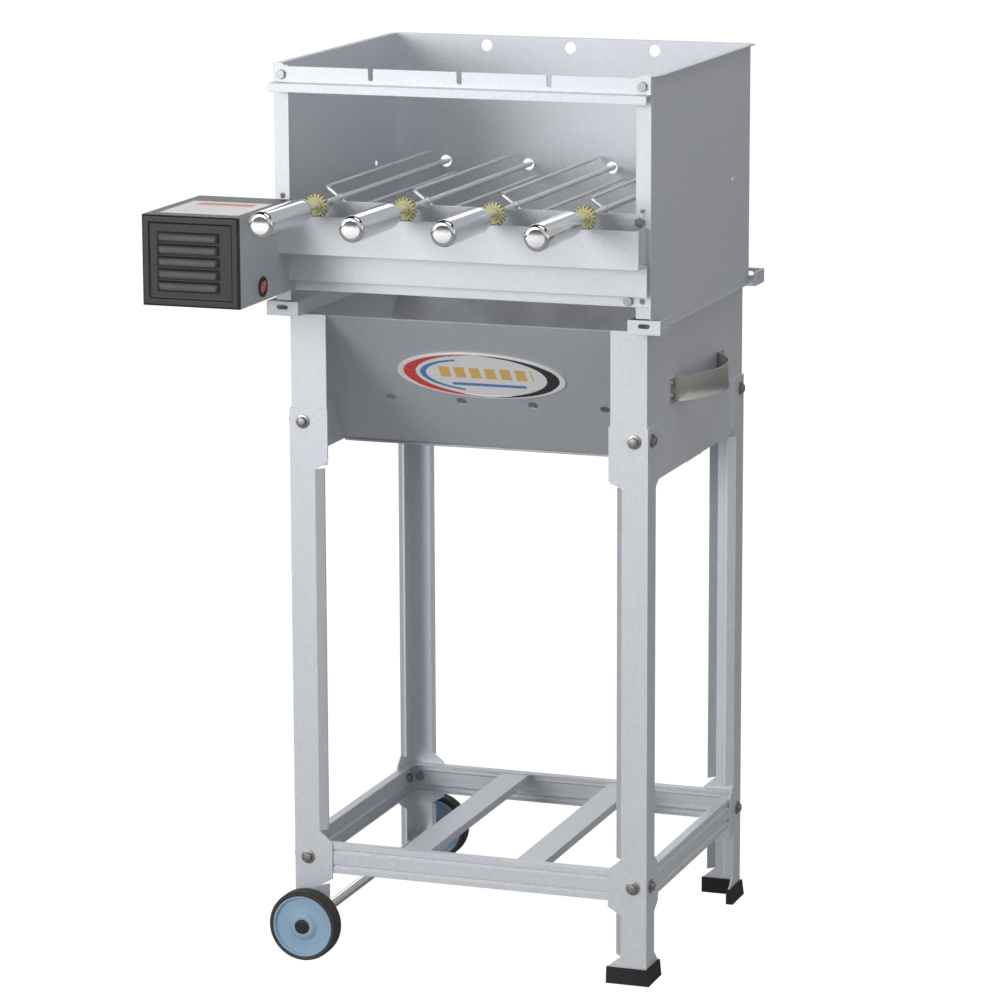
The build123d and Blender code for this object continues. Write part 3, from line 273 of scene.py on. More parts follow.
def useGroup(tree, group, **values):
    node = tree.nodes.new("ShaderNodeGroup")
    node.node_tree = group
    for label, value in values.items():
        socket = node.inputs[label.replace("_", " ")]
        if hasattr(value, "is_linked"):
            tree.links.new(value, socket)
        else:
            socket.default_value = value
    return node


def startMaterial(name):
    made = bpy.data.materials.new(name)
    made.use_nodes = True
    tree = made.node_tree
    shader = tree.nodes["Principled BSDF"]
    coords = tree.nodes.new("ShaderNodeTexCoord")
    return made, tree, shader, coords.outputs["Object"]


def rampValue(tree, value, low, high):
    # Value 0..1 spread over low..high.
    node = tree.nodes.new("ShaderNodeMapRange")
    tree.links.new(value, node.inputs[0])
    node.inputs[3].default_value = low
    node.inputs[4].default_value = high
    return node.outputs[0]


def bumpNode(tree, height, strength, distance, normal=None):
    node = tree.nodes.new("ShaderNodeBump")
    node.inputs["Strength"].default_value = strength
    node.inputs["Distance"].default_value = distance
    tree.links.new(height, node.inputs["Height"])
    if normal is not None:
        tree.links.new(normal, node.inputs["Normal"])
    return node.outputs[0]


# The edge colour is white mixed onto sheet edges: a painted highlight.
zincSettings = {
    "light": (0.76, 0.79, 0.835), "dark": (0.60, 0.625, 0.665), "edge": (1.0, 1.0, 1.0),
    "metal": 0.42, "rough": (0.42, 0.48), "edgeRadius": 0.9 * mm, "crystal": 380.0, "grain": 900.0,
}


def zincSheet(name, settings, tint=(1.0, 1.0, 1.0)):
    made, tree, shader, coords = startMaterial(name)
    zinc = useGroup(tree, zincBloom, Vector=coords, Crystal_Scale=settings["crystal"],
                    Grain_Scale=settings["grain"])
    edges = useGroup(tree, softEdge, Radius=settings["edgeRadius"])
    light = tuple(a * b for a, b in zip(settings["light"], tint))
    dark = tuple(a * b for a, b in zip(settings["dark"], tint))
    mixed = mathNode(tree, "ADD", mathNode(tree, "MULTIPLY", zinc.outputs["Tone"], 0.35),
                     mathNode(tree, "MULTIPLY", zinc.outputs["Grain"], 0.65))
    colour = mixColour(tree, mixed, dark, light)
    # Edges are mixed toward the white edge colour: a painted highlight along the sheet edges.
    paintedEdgeHighlight = mixColour(tree, edges.outputs["Edge"], colour, settings["edge"])
    tree.links.new(paintedEdgeHighlight, shader.inputs["Base Color"])
    tree.links.new(rampValue(tree, zinc.outputs["Tone"], *settings["rough"]), shader.inputs["Roughness"])
    shader.inputs["Metallic"].default_value = settings["metal"]
    tree.links.new(bumpNode(tree, zinc.outputs["Grain"], 0.10, 0.0002, edges.outputs["Normal"]),
                   shader.inputs["Normal"])
    return made


def polishedMetal(name, colour, rough, stretch, edgeRadius=0.5 * mm, lines=0.06, metal=1.0):
    made, tree, shader, coords = startMaterial(name)
    brush = useGroup(tree, brushLines, Vector=coords, Stretch=stretch, Scale=700.0)
    edges = useGroup(tree, softEdge, Radius=edgeRadius)
    darker = tuple(c * 0.88 for c in colour)
    tree.links.new(mixColour(tree, brush.outputs["Lines"], darker, colour), shader.inputs["Base Color"])
    uneven = rampValue(tree, brush.outputs["Lines"], rough * 0.75, rough * 1.35)
    tree.links.new(uneven, shader.inputs["Roughness"])
    shader.inputs["Metallic"].default_value = metal
    tree.links.new(bumpNode(tree, brush.outputs["Lines"], lines, 0.0002, edges.outputs["Normal"]),
                   shader.inputs["Normal"])
    return made


def mouldedPlastic(name, colour, rough, edgeHighlightColour=None, grain=1500.0, depth=0.12, metal=0.0, coat=0.0):
    made, tree, shader, coords = startMaterial(name)
    edges = useGroup(tree, softEdge, Radius=0.6 * mm)
    texture = noiseNode(tree, coords, grain, 2.0)
    patches = noiseNode(tree, coords, 30.0, 4.0)
    darker = tuple(c * 0.85 for c in colour)
    base = mixColour(tree, patches, darker, colour)
    # Edges are mixed toward a lighter colour: a painted highlight along the edges.
    plasticEdgeHighlight = edgeHighlightColour or tuple(min(1.0, c * 1.25 + 0.02) for c in colour)
    tree.links.new(mixColour(tree, edges.outputs["Edge"], base, plasticEdgeHighlight), shader.inputs["Base Color"])
    tree.links.new(rampValue(tree, patches, rough * 0.85, rough * 1.15), shader.inputs["Roughness"])
    shader.inputs["Metallic"].default_value = metal
    shader.inputs["Coat Weight"].default_value = coat
    tree.links.new(bumpNode(tree, texture, depth, 0.0002, edges.outputs["Normal"]), shader.inputs["Normal"])
    return made


boxTopSettings = {"paint": (0.055, 0.058, 0.062)}


def motorBoxSteel(name):
    # Zinc sides; the face that looks up is painted dark.
    made = zincSheet(name, {**zincSettings, "light": (0.60, 0.62, 0.66), "dark": (0.52, 0.54, 0.58)})
    tree = made.node_tree
    shader = tree.nodes["Principled BSDF"]
    geometry = tree.nodes.new("ShaderNodeNewGeometry")
    split = tree.nodes.new("ShaderNodeSeparateXYZ")
    tree.links.new(geometry.outputs["True Normal"], split.inputs[0])
    up = mathNode(tree, "GREATER_THAN", split.outputs["Z"], 0.5)
    before = shader.inputs["Base Color"].links[0].from_socket
    tree.links.new(mixColour(tree, up, before, boxTopSettings["paint"]), shader.inputs["Base Color"])
    tree.links.new(mathNode(tree, "MULTIPLY", mathNode(tree, "SUBTRACT", 1.0, up), zincSettings["metal"]),
                   shader.inputs["Metallic"])
    return made


def between(tree, value, lowEdge, highEdge):
    # 1 where the value lies between the two edges, else 0.
    return mathNode(tree, "MULTIPLY", mathNode(tree, "GREATER_THAN", value, lowEdge),
                    mathNode(tree, "LESS_THAN", value, highEdge))


badgeSettings = {
    "white": (0.93, 0.93, 0.92), "red": (0.78, 0.06, 0.05), "blue": (0.10, 0.28, 0.62),
    "black": (0.03, 0.03, 0.035), "gold": (0.90, 0.55, 0.16), "ringOuter": 0.93, "swell": 0.19,
}


def ellipseCoords(tree, coords, node):
    # Position on the sloping badge as two numbers that are 1 at the ends of the oval's axes.
    centre, low, high = centreOf(node)
    slope = np.array([0, high[1] - low[1], low[2] - high[2]])
    slope /= np.linalg.norm(slope)
    halfSlope = math.hypot(high[1] - low[1], high[2] - low[2]) / 2
    moved = tree.nodes.new("ShaderNodeVectorMath")
    moved.operation = "SUBTRACT"
    tree.links.new(coords, moved.inputs[0])
    moved.inputs[1].default_value = centre
    parts = []
    for axis, size in (((1, 0, 0), (high[0] - low[0]) / 2), (-slope, halfSlope)):
        dot = tree.nodes.new("ShaderNodeVectorMath")
        dot.operation = "DOT_PRODUCT"
        tree.links.new(moved.outputs[0], dot.inputs[0])
        dot.inputs[1].default_value = tuple(axis)
        parts.append(mathNode(tree, "DIVIDE", dot.outputs["Value"], float(size)))
    return parts


def badgeEnamel(name):
    # White oval plate with a red and black ring that thickens at the ends, a blue arc and plain blocks.
    made, tree, shader, coords = startMaterial(name)
    s = badgeSettings
    x, y = ellipseCoords(tree, coords, "firebox_badge")
    radius = mathNode(tree, "SQRT", mathNode(tree, "ADD", mathNode(tree, "MULTIPLY", x, x),
                                             mathNode(tree, "MULTIPLY", y, y)))
    swelling = mathNode(tree, "MULTIPLY", mathNode(tree, "ABSOLUTE", x), s["swell"])
    inner = mathNode(tree, "SUBTRACT", s["ringOuter"], swelling)     # the ring is thickest at the two ends
    ring = mathNode(tree, "MULTIPLY", mathNode(tree, "LESS_THAN", radius, s["ringOuter"]),
                    mathNode(tree, "GREATER_THAN", radius, inner))
    leftHalf = mathNode(tree, "LESS_THAN", x, 0.0)
    rimColour = mixColour(tree, leftHalf, s["black"], s["red"])
    arcMask = mathNode(tree, "MULTIPLY", between(tree, radius, 0.66, 0.73), mathNode(tree, "LESS_THAN", x, -0.25))
    bar = mathNode(tree, "MULTIPLY", between(tree, y, -0.12, 0.34), between(tree, x, -0.52, 0.62))
    lowBar = mathNode(tree, "MULTIPLY", between(tree, y, -0.46, -0.34), between(tree, x, -0.38, 0.50))
    stripes = mathNode(tree, "GREATER_THAN", mathNode(tree, "FRACT", mathNode(tree, "MULTIPLY", x, 5.5)), 0.32)
    face = mixColour(tree, mathNode(tree, "MULTIPLY", bar, stripes), s["white"], s["gold"])
    face = mixColour(tree, lowBar, face, s["blue"])
    face = mixColour(tree, arcMask, face, s["blue"])
    grain = noiseNode(tree, coords, 600.0, 2.0)
    edges = useGroup(tree, softEdge, Radius=0.5 * mm)
    tree.links.new(mixColour(tree, ring, face, rimColour), shader.inputs["Base Color"])
    tree.links.new(rampValue(tree, grain, 0.22, 0.34), shader.inputs["Roughness"])
    shader.inputs["Coat Weight"].default_value = 0.4
    tree.links.new(bumpNode(tree, grain, 0.04, 0.0002, edges.outputs["Normal"]), shader.inputs["Normal"])
    return made


labelSettings = {"paper": (0.93, 0.93, 0.92), "band": (0.74, 0.16, 0.17), "panel": (0.84, 0.78, 0.78)}


def labelFilm(name):
    # White film with a plain red band near the back edge and a pale panel below it.
    made, tree, shader, coords = startMaterial(name)
    centre, low, high = centreOf("box_label")
    s = labelSettings
    split = tree.nodes.new("ShaderNodeSeparateXYZ")
    tree.links.new(coords, split.inputs[0])
    u = mathNode(tree, "DIVIDE", mathNode(tree, "SUBTRACT", split.outputs["X"], float(centre[0])),
                 float(high[0] - low[0]))
    v = mathNode(tree, "DIVIDE", mathNode(tree, "SUBTRACT", split.outputs["Y"], float(low[1])),
                 float(high[1] - low[1]))
    inX = between(tree, u, -0.36, 0.36)
    band = mathNode(tree, "MULTIPLY", inX, between(tree, v, 0.70, 0.90))
    panel = mathNode(tree, "MULTIPLY", inX, between(tree, v, 0.14, 0.64))
    grain = noiseNode(tree, coords, 500.0, 2.0)
    face = mixColour(tree, mathNode(tree, "MULTIPLY", panel, grain), s["paper"], s["panel"])
    tree.links.new(mixColour(tree, band, face, s["band"]), shader.inputs["Base Color"])
    tree.links.new(rampValue(tree, grain, 0.35, 0.5), shader.inputs["Roughness"])
    tree.links.new(bumpNode(tree, grain, 0.05, 0.0001), shader.inputs["Normal"])
    return made


def castIron(name):
    made, tree, shader, coords = startMaterial(name)
    patchGroup = useGroup(tree, dustAndShadePatches, Vector=coords, Amount=0.9)
    pits = noiseNode(tree, coords, 260.0, 5.0)
    iron = mixColour(tree, pits, (0.035, 0.034, 0.033), (0.10, 0.095, 0.09))
    tree.links.new(mixColour(tree, patchGroup.outputs["PatchMask"], iron, (0.30, 0.28, 0.26)), shader.inputs["Base Color"])
    tree.links.new(rampValue(tree, pits, 0.55, 0.9), shader.inputs["Roughness"])
    shader.inputs["Metallic"].default_value = 0.6
    tree.links.new(bumpNode(tree, pits, 0.5, 0.0008), shader.inputs["Normal"])
    return made


def shadedInteriorZinc(name):
    # Zinc tinted darker (0.86), then mixed toward dark grey in patches heavier on up-facing faces: painted shade
    # on the firebox back and ash tray.
    made = zincSheet(name, zincSettings, tint=(0.86, 0.86, 0.86))
    tree = made.node_tree
    shader = tree.nodes["Principled BSDF"]
    coords = tree.nodes["Texture Coordinate"].outputs["Object"]
    patchGroup = useGroup(tree, dustAndShadePatches, Vector=coords, Amount=0.55)
    before = shader.inputs["Base Color"].links[0].from_socket
    # Mixed toward dark grey in the patches: painted shade.
    paintedInteriorShade = mixColour(tree, patchGroup.outputs["PatchMask"], before, (0.22, 0.21, 0.20))
    tree.links.new(paintedInteriorShade, shader.inputs["Base Color"])
    return made


finish = {
    "zinc": zincSheet("zincSheet", zincSettings),
    # The firebox front is zinc tinted darker (0.92): painted shade on that panel.
    "firebox": zincSheet("shadedFireboxZinc", zincSettings, tint=(0.92, 0.93, 0.93)),
    # Firebox back and ash tray: zinc with painted shade.
    "ash": shadedInteriorZinc("shadedInteriorZinc"),
    "box": motorBoxSteel("motorBoxSteel"),
    "fastener": polishedMetal("zincFastener", (0.36, 0.355, 0.345), 0.34, (1, 1, 1)),
    "rod": polishedMetal("brightRod", (0.96, 0.95, 0.93), 0.30, (1, 0.03, 1), metal=0.7),
    "axle": polishedMetal("axleSteel", (0.86, 0.85, 0.82), 0.14, (1, 0.03, 1)),
    "chrome": polishedMetal("chromeHandle", (0.90, 0.91, 0.92), 0.05, (1, 0.05, 1), lines=0.02),
    "strap": polishedMetal("stainlessStrap", (0.80, 0.78, 0.74), 0.22, (1, 0.05, 1)),
    "gear": polishedMetal("gearBrass", (0.56, 0.54, 0.29), 0.45, (1, 0.4, 1), metal=0.15),
    "bronze": polishedMetal("bushBronze", (0.42, 0.34, 0.24), 0.35, (1, 0.3, 1)),
    "turned": polishedMetal("turnedSteel", (0.52, 0.53, 0.55), 0.3, (0.05, 1, 1)),
    "motor": polishedMetal("motorCasting", (0.50, 0.51, 0.52), 0.5, (1, 1, 1), lines=0.3),
    "rubber": mouldedPlastic("footRubber", (0.009, 0.009, 0.009), 0.70, (0.02, 0.02, 0.02), 900.0, 0.3),
    "tyre": mouldedPlastic("tyreRubber", (0.040, 0.038, 0.036), 0.55, (0.08, 0.078, 0.074), 700.0, 0.25),
    "hub": mouldedPlastic("paleBluePlastic", (0.33, 0.50, 0.67), 0.42, (0.62, 0.78, 0.90)),
    "black": mouldedPlastic("blackPlastic", (0.022, 0.022, 0.024), 0.30, (0.06, 0.06, 0.065)),
    "cover": mouldedPlastic("coverPaint", (0.018, 0.019, 0.019), 0.42, (0.15, 0.15, 0.153), 1100.0, 0.22),
    "red": mouldedPlastic("rockerRed", (0.72, 0.03, 0.03), 0.18, (0.9, 0.15, 0.12), coat=0.5),
    "badge": badgeEnamel("badgeEnamel"),
    "label": labelFilm("labelFilm"),
    "iron": castIron("grateIron"),
}
nodeFinish = {
    "leg_": "zinc", "shelf_": "zinc", "support_rail": "zinc", "hood_side": "zinc", "hood_back": "zinc",
    "top_slotted": "zinc", "beam_": "zinc", "firebox_side": "zinc", "firebox_front": "firebox",
    "firebox_back": "ash", "ash_tray": "ash", "motor_bracket": "zinc", "motor_box": "box",
    "stand_bolts": "fastener", "hood_bolts": "fastener", "handle_rivets": "fastener", "wheel_axle": "axle",
    "rubber_feet": "rubber", "wheel_tyre": "tyre", "wheel_hub": "hub", "axle_caps": "black",
    "switch_body": "black", "power_inlet": "black", "louvred": "cover", "firebox_badge": "badge",
    "charcoal_grate": "iron", "side_handles": "strap", "shaft_bush": "bronze",
    "drive_": "turned", "spit_rod": "rod", "spit_handle": "chrome", "spit_gear": "gear",
    "gear_motor": "motor", "box_label": "label", "switch_rocker": "red",
}


def dress(piece, finishName):
    piece.data.materials.clear()
    piece.data.materials.append(finish[finishName])


for nodeName, piece in nodeObjects.items():
    match = max((k for k in nodeFinish if nodeName.startswith(k)), key=len)
    dress(piece, nodeFinish[match])
print("materials ready:", len(finish))


handleSettings = {"noseLength": 24 * mm, "neckRadius": 4.6 * mm, "edgeRound": 4.0 * mm}


def chromeHandle(number):
    # Straight barrel, then a quarter-ellipse nose down to the neck: r = neck + (R - neck) * sqrt(1 - t^2).
    s = handleSettings
    node = f"spit_handle_{number}"
    centre, low, high = centreOf(node)
    radius = (high[0] - low[0]) / 2
    length = high[1] - low[1]
    t = np.linspace(0, 1, 28) ** 0.6
    nose = [(s["neckRadius"] + (radius - s["neckRadius"]) * math.sqrt(max(0.0, 1 - k * k)),
             length - s["noseLength"] * (1 - k)) for k in t]
    r = s["edgeRound"]
    front = rounded([(0, 0), (radius - r, 0), (radius - 0.3 * r, 0.3 * r), (radius, r), (radius, 30 * mm)],
                    1.4 * mm, 6)
    profile = front[:-1] + [(radius, length * 0.4)] + nose + [(0, length)]
    piece = meshFrom(f"chromeHandle{number}", [turned(profile, (centre[0], low[1], centre[2]), (0, 1, 0), 96)])
    dress(piece, "chrome")
    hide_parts(node)
    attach(piece, f"spit_{number}")


spitSettings = {"rodRadius": 3.5 * mm, "prongRadius": 2.1 * mm, "offX": 16.8 * mm, "offZ": 12.6 * mm,
                "bend": 5 * mm, "tipTaper": 16 * mm, "weldRadius": 5.0 * mm}


def spitRod(number):
    # Straight rod with a drawn point, and one wire bent into a two-prong fork, both swept circles.
    s = spitSettings
    node = f"spit_rod_{number}"
    centre, low, high = centreOf(node)
    x, z = centre[0], centre[2]
    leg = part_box("leg_front_left")[0][1]
    crossY = leg + 20 * mm
    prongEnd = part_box("hood_back_panel")[0][1] - 2.5 * mm
    y = np.concatenate([np.linspace(low[1] + 2 * mm, high[1] - 14 * mm, 40),
                        np.linspace(high[1] - 13 * mm, high[1], 12)])
    rodPath = np.stack([np.full_like(y, x), y, np.full_like(y, z)], 1)
    rodRadii = s["rodRadius"] * np.clip((high[1] - y) / (13 * mm), 0.0, 1.0) ** 0.7
    rodRadii[0] = 0.0
    rodPath[0, 1] = rodPath[1, 1] - 0.01 * mm
    def corner(a, b, c, steps=9):
        # Quadratic bend at b between a and c.
        a, b, c = (np.array(p, float) for p in (a, b, c))
        p = b + (a - b) / np.linalg.norm(a - b) * s["bend"]
        q = b + (c - b) / np.linalg.norm(c - b) * s["bend"]
        t = np.linspace(0, 1, steps)[:, None]
        return (1 - t) ** 2 * p + 2 * t * (1 - t) * b + t ** 2 * q
    tipA, tipB = (x - s["offX"], prongEnd, z + s["offZ"]), (x + s["offX"], prongEnd, z - s["offZ"])
    bendA, bendB = (tipA[0], crossY, tipA[2]), (tipB[0], crossY, tipB[2])
    straightA = np.linspace(tipA, (bendA[0], crossY + s["bend"] * 1.3, bendA[2]), 40)
    straightB = np.linspace((bendB[0], crossY + s["bend"] * 1.3, bendB[2]), tipB, 40)
    path = np.concatenate([straightA, corner(tipA, bendA, bendB), corner(bendA, bendB, tipB), straightB])
    radii = s["prongRadius"] * np.clip((prongEnd - path[:, 1]) / s["tipTaper"], 0.0, 1.0) ** 0.6
    weldHalf = 4.5 * mm
    weld = rounded([(0, -weldHalf), (s["weldRadius"], -weldHalf), (s["weldRadius"], weldHalf), (0, weldHalf)],
                   2 * mm, 5)
    piece = meshFrom(f"spitRod{number}", [tube(rodPath, rodRadii, 24), tube(path, radii, 16),
                                          turned(weld, (x, crossY, z), (0, 1, 0), 32)])
    dress(piece, "rod")
    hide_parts(node)
    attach(piece, f"spit_{number}")


for number in range(1, 5):
    chromeHandle(number)
    spitRod(number)
print("spits dressed")

wheelSettings = {"rimWidth": 2.4 * mm, "discDepth": 4.5 * mm, "bossRadius": 16.5 * mm, "noseRadius": 13 * mm,
                 "shoulder": 2.2 * mm}


def wheel(end, outward):
    # Hub and tyre as surfaces of revolution about the axle.
    s = wheelSettings
    centre, low, high = centreOf(f"wheel_tyre_{end}")
    hubLow, hubHigh = (np.array(v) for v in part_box(f"wheel_hub_{end}"))
    width = high[1] - low[1]
    outer = (high[2] - low[2]) / 2
    rim = (hubHigh[2] - hubLow[2]) / 2
    bore = 4.1 * mm
    start = low[1] if outward > 0 else high[1]
    reach = (hubHigh[1] - start) if outward > 0 else (start - hubLow[1])
    back = (start - hubLow[1]) if outward > 0 else (hubHigh[1] - start)
    origin, axis = (centre[0], start, centre[2]), (0, outward, 0)
    w, d = width, s["discDepth"]
    corners = [(bore, -back), (12 * mm, -back), (12 * mm, 8 * mm), (rim - 5 * mm, 8 * mm),
               (rim - 4 * mm, 1 * mm), (rim, 1 * mm), (rim, w - 0.6 * mm), (rim - s["rimWidth"], w - 0.6 * mm),
               (rim - s["rimWidth"] - 1.2 * mm, w - d), (s["bossRadius"] + 2 * mm, w - d),
               (s["bossRadius"], w - d + 1.6 * mm), (s["noseRadius"] + 1 * mm, reach - 0.4 * mm),
               (s["noseRadius"], reach), (bore, reach), (bore, -back)]
    hub = meshFrom(f"wheelHub{end.capitalize()}", [turned(rounded(corners, 0.9 * mm, 4), origin, axis, 96)])
    dress(hub, "hub")
    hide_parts(f"wheel_hub_{end}")
    tread = np.linspace(0, 1, 41)
    shoulder = outer - s["shoulder"] * np.abs(2 * tread - 1) ** 6     # flat tread, rounded shoulders
    groove = 0.8 * mm * np.exp(-((tread - 0.5) / 0.03) ** 2)
    crown = [(float(r), float(t * w)) for r, t in zip(shoulder - groove, tread)]
    ring = ([(rim, 0.4 * mm), (rim + 1.5 * mm, 0.0)] + crown
            + [(rim + 1.5 * mm, w), (rim, w - 0.4 * mm), (rim, 0.4 * mm)])
    tyre = meshFrom(f"wheelTyre{end.capitalize()}", [turned(ring, origin, axis, 112)])
    dress(tyre, "tyre")
    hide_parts(f"wheel_tyre_{end}")
    for piece, slotName in ((hub, "pale_blue_plastic"), (tyre, "tyre_rubber")):
        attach(piece, f"{end}_wheel")


wheel("front", -1)
wheel("back", 1)
print("wheels turned")

strapSettings = {"curl": 1.6 * mm, "thick": 2.0 * mm, "foot": 20 * mm}


def sideHandles():
    # A strap section (slightly dished, rounded edges) carried along foot, arc, foot on each side.
    s = strapSettings
    low, high = (np.array(v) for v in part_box("side_handles"))
    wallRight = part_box("firebox_side_right")[1][0]
    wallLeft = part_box("firebox_side_left")[0][0]
    midY = (low[1] + high[1]) / 2
    halfChord = (high[1] - low[1]) / 2 - s["foot"]
    grids = []
    for sign, wall, tip in ((1, wallRight, high[0]), (-1, wallLeft, low[0])):
        rise = abs(tip - wall) - s["thick"]
        radius = (halfChord ** 2 + rise ** 2) / (2 * rise)
        y = np.linspace(-halfChord - s["foot"], halfChord + s["foot"], 121)
        inside = np.clip(radius ** 2 - y ** 2, 0, None) ** 0.5 - (radius - rise)
        arc = np.where(np.abs(y) < halfChord, inside, 0.0)
        kernel = np.hanning(9)
        padded = np.concatenate([np.zeros(8), arc, np.zeros(8)])
        arc = np.convolve(padded, kernel / kernel.sum(), "same")[8:-8]
        slope = np.gradient(arc, y)
        normal = np.stack([np.ones_like(y), -slope], 1) / np.hypot(1, slope)[:, None]
        v = np.linspace(-1, 1, 13)
        dish = s["curl"] * (v ** 2 - 1)[None, :] * np.clip(arc / (12 * mm), 0, 1)[:, None]
        height = (high[2] - low[2]) / 2
        layers = []
        for lift in (0.0, s["thick"]):
            off = lift + dish
            px = wall + sign * (arc[:, None] + normal[:, :1] * off)
            py = midY + y[:, None] + normal[:, 1:] * off
            pz = (low[2] + high[2]) / 2 + v[None, :] * height + np.zeros_like(px)
            layers.append(np.stack([px, py, pz], -1))
        section = np.concatenate([layers[0], layers[1][:, ::-1]], 1)
        grids.append((section, False, True))
        for end in (0, -1):
            cap = np.stack([layers[0][end], layers[1][end]], 0)
            grids.append((cap, False, False))
    piece = meshFrom("sideHandles", grids, 50)
    dress(piece, "strap")
    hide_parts("side_handles")
    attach(piece, "stand")


sideHandles()

coverSettings = {"rim": 8.0 * mm, "rimStep": 1.8 * mm, "edge": 2.2 * mm, "louvres": 5, "pitch": 14.3 * mm,
                 "width": 78 * mm, "tall": 11.2 * mm, "bulge": 4.0 * mm, "slit": 1.8 * mm, "shift": -3 * mm}


def smoothStep(value):
    value = np.clip(value, 0, 1)
    return value * value * (3 - 2 * value)


def louvredCover():
    # Height field over x and z: a raised rounded rim, and five hoods that swell out in a quarter
    # ellipse from top to lip, with a sunk slit under each lip; a skirt closes it to the box.
    s = coverSettings
    centre, low, high = centreOf("louvred_cover")
    shell = np.array(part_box("motor_box_shell")[0])
    frontY = shell[1] - 2.0 * mm
    midX, midZ = centre[0] + s["shift"], (low[2] + high[2]) / 2
    tops = [midZ + (i - 2) * s["pitch"] + s["tall"] / 2 for i in range(s["louvres"])]
    def lines(a, b, marks):
        base = np.linspace(a, b, 60)
        extra = [m + d * mm for m in marks for d in (-2.0, -1.4, -1.0, -0.6, -0.3, 0, 0.3, 0.6, 1.0, 1.4, 2.0)]
        return np.unique(np.clip(np.concatenate([base, extra]), a, b))
    inner = s["rim"] + 1 * mm
    xs = lines(low[0], high[0], [low[0] + inner, high[0] - inner, low[0] + 1 * mm, high[0] - 1 * mm,
                                 midX - s["width"] / 2, midX + s["width"] / 2])
    zs = lines(low[2], high[2], [low[2] + inner, high[2] - inner, low[2] + 1 * mm, high[2] - 1 * mm]
               + tops + [t - s["tall"] for t in tops])
    gx, gz = np.meshgrid(xs, zs, indexing="ij")
    inset = np.minimum(np.minimum(gx - low[0], high[0] - gx), np.minimum(gz - low[2], high[2] - gz))
    height = s["rimStep"] * (smoothStep(inset / s["edge"]) - smoothStep((inset - s["rim"]) / (2.0 * mm)))
    ends = np.clip((s["width"] / 2 - np.abs(gx - midX)) / (4.5 * mm), 0, 1)
    ends = np.sqrt(1 - (1 - ends) ** 2)
    for top in tops:
        down = (top - gz) / s["tall"]
        hood = np.sqrt(np.clip(1 - (1 - np.clip(down, 0, 1)) ** 2, 0, 1)) * (down >= 0)
        lip = 1 - smoothStep((down * s["tall"] - s["tall"] + 0.7 * mm) / (0.6 * mm))
        height += s["bulge"] * hood * lip * ends
        below = (down * s["tall"] > s["tall"] - 0.2 * mm) & (down * s["tall"] < s["tall"] + s["slit"])
        height -= 2.4 * mm * below * (ends > 0.6)
    face = np.stack([gx, frontY - height, gz], -1)
    rim = np.concatenate([face[:, 0], face[-1, 1:], face[-2::-1, -1], face[0, -2:0:-1]])
    skirtBack = rim.copy()
    skirtBack[:, 1] = shell[1] + 1.0 * mm
    grids = [(face, False, False), (np.stack([rim, skirtBack]), False, True)]
    piece = meshFrom("louvredCover", grids, 40)
    solid = piece.modifiers.new("wall", "SOLIDIFY")
    solid.thickness = 0.9 * mm
    solid.offset = -1
    dress(piece, "cover")
    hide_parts("louvred_cover")
    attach(piece, "stand")


louvredCover()
print("cover pressed")


boltSettings = {"insetX": 17 * mm, "insetY": 15.6 * mm, "heights": (119.5 * mm, 660 * mm), "across": 5.0 * mm,
                "head": 4.0 * mm, "washer": 8.6 * mm, "washerThick": 1.4 * mm, "shank": 3.0 * mm,
                "stack": 3.5 * mm, "nut": 5.0 * mm}


def hexRule(across):
    # Radius of a hexagon at an angle, never more than the given radius: min(r, across / cos(angle from flat)).
    def rule(angle, radius):
        toFlat = (angle + math.pi / 6) % (math.pi / 3) - math.pi / 6
        return np.minimum(radius, across / np.cos(toFlat))
    return rule


def standBolts():
    s = boltSettings
    grids = []
    for side, sign in (("left", -1), ("right", 1)):
        for end, way in (("front", -1), ("back", 1)):
            low, high = (np.array(v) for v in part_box(f"leg_{end}_{side}"))
            cornerX = high[0] if sign > 0 else low[0]
            cornerY = high[1] if way > 0 else low[1]
            for z in s["heights"]:
                spots = [((cornerX - sign * s["insetX"], cornerY, z), (0, way, 0)),
                         ((cornerX, cornerY - way * s["insetY"], z), (sign, 0, 0))]
                for spot, out in spots:
                    t, h, big = s["washerThick"], s["head"], s["across"] * 1.2
                    washer = rounded([(s["shank"], 0), (s["washer"], 0), (s["washer"], t), (s["shank"], t)],
                                     0.5 * mm, 3)
                    head = [(0, t), (big, t), (big, t + h * 0.62), (s["across"] * 1.03, t + h * 0.82),
                            (s["across"] * 0.86, t + h * 0.95), (s["across"] * 0.5, t + h), (0, t + h)]
                    stack, nut = s["stack"], s["nut"]
                    back = [(s["shank"], -stack), (big, -stack), (big, -stack - nut * 0.85),
                            (s["across"] * 0.95, -stack - nut), (s["shank"], -stack - nut),
                            (s["shank"] - 0.1 * mm, -stack - nut - 1 * mm), (0, -stack - nut - 1 * mm)]
                    grids.append(turned(washer, spot, out, 36))
                    grids.append(turned(head, spot, out, 36, hexRule(s["across"])))
                    grids.append(turned(back, spot, out, 36, hexRule(s["across"])))
    piece = meshFrom("standBolts", grids, 25)
    dress(piece, "fastener")
    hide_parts("stand_bolts")
    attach(piece, "stand")


standBolts()
print("bolts placed")


cameraSettings = {"azimuth": 19.53, "elevation": 11.71, "roll": -0.2, "distance": 5.26007,
                  "target": (0.02603, 0.0375, 0.54855), "lens": 155.592}
lightSettings = {
    "key": {"place": (-3.2, -6.6, 2.1), "size": 3.6, "power": 226.0},
    "fill": {"place": (4.4, -1.4, 1.2), "size": 3.0, "power": 16.0},
    "top": {"place": (0.9, -0.9, 3.6), "size": 2.0, "power": 34.0},
    "rear": {"place": (-1.2, 3.4, 1.8), "size": 2.4, "power": 14.0},
}
worldSettings = {"seen": 1.3, "bright": 0.58, "dim": 0.46, "overhead": (0.54, 0.60), "overheadShare": 0.06}


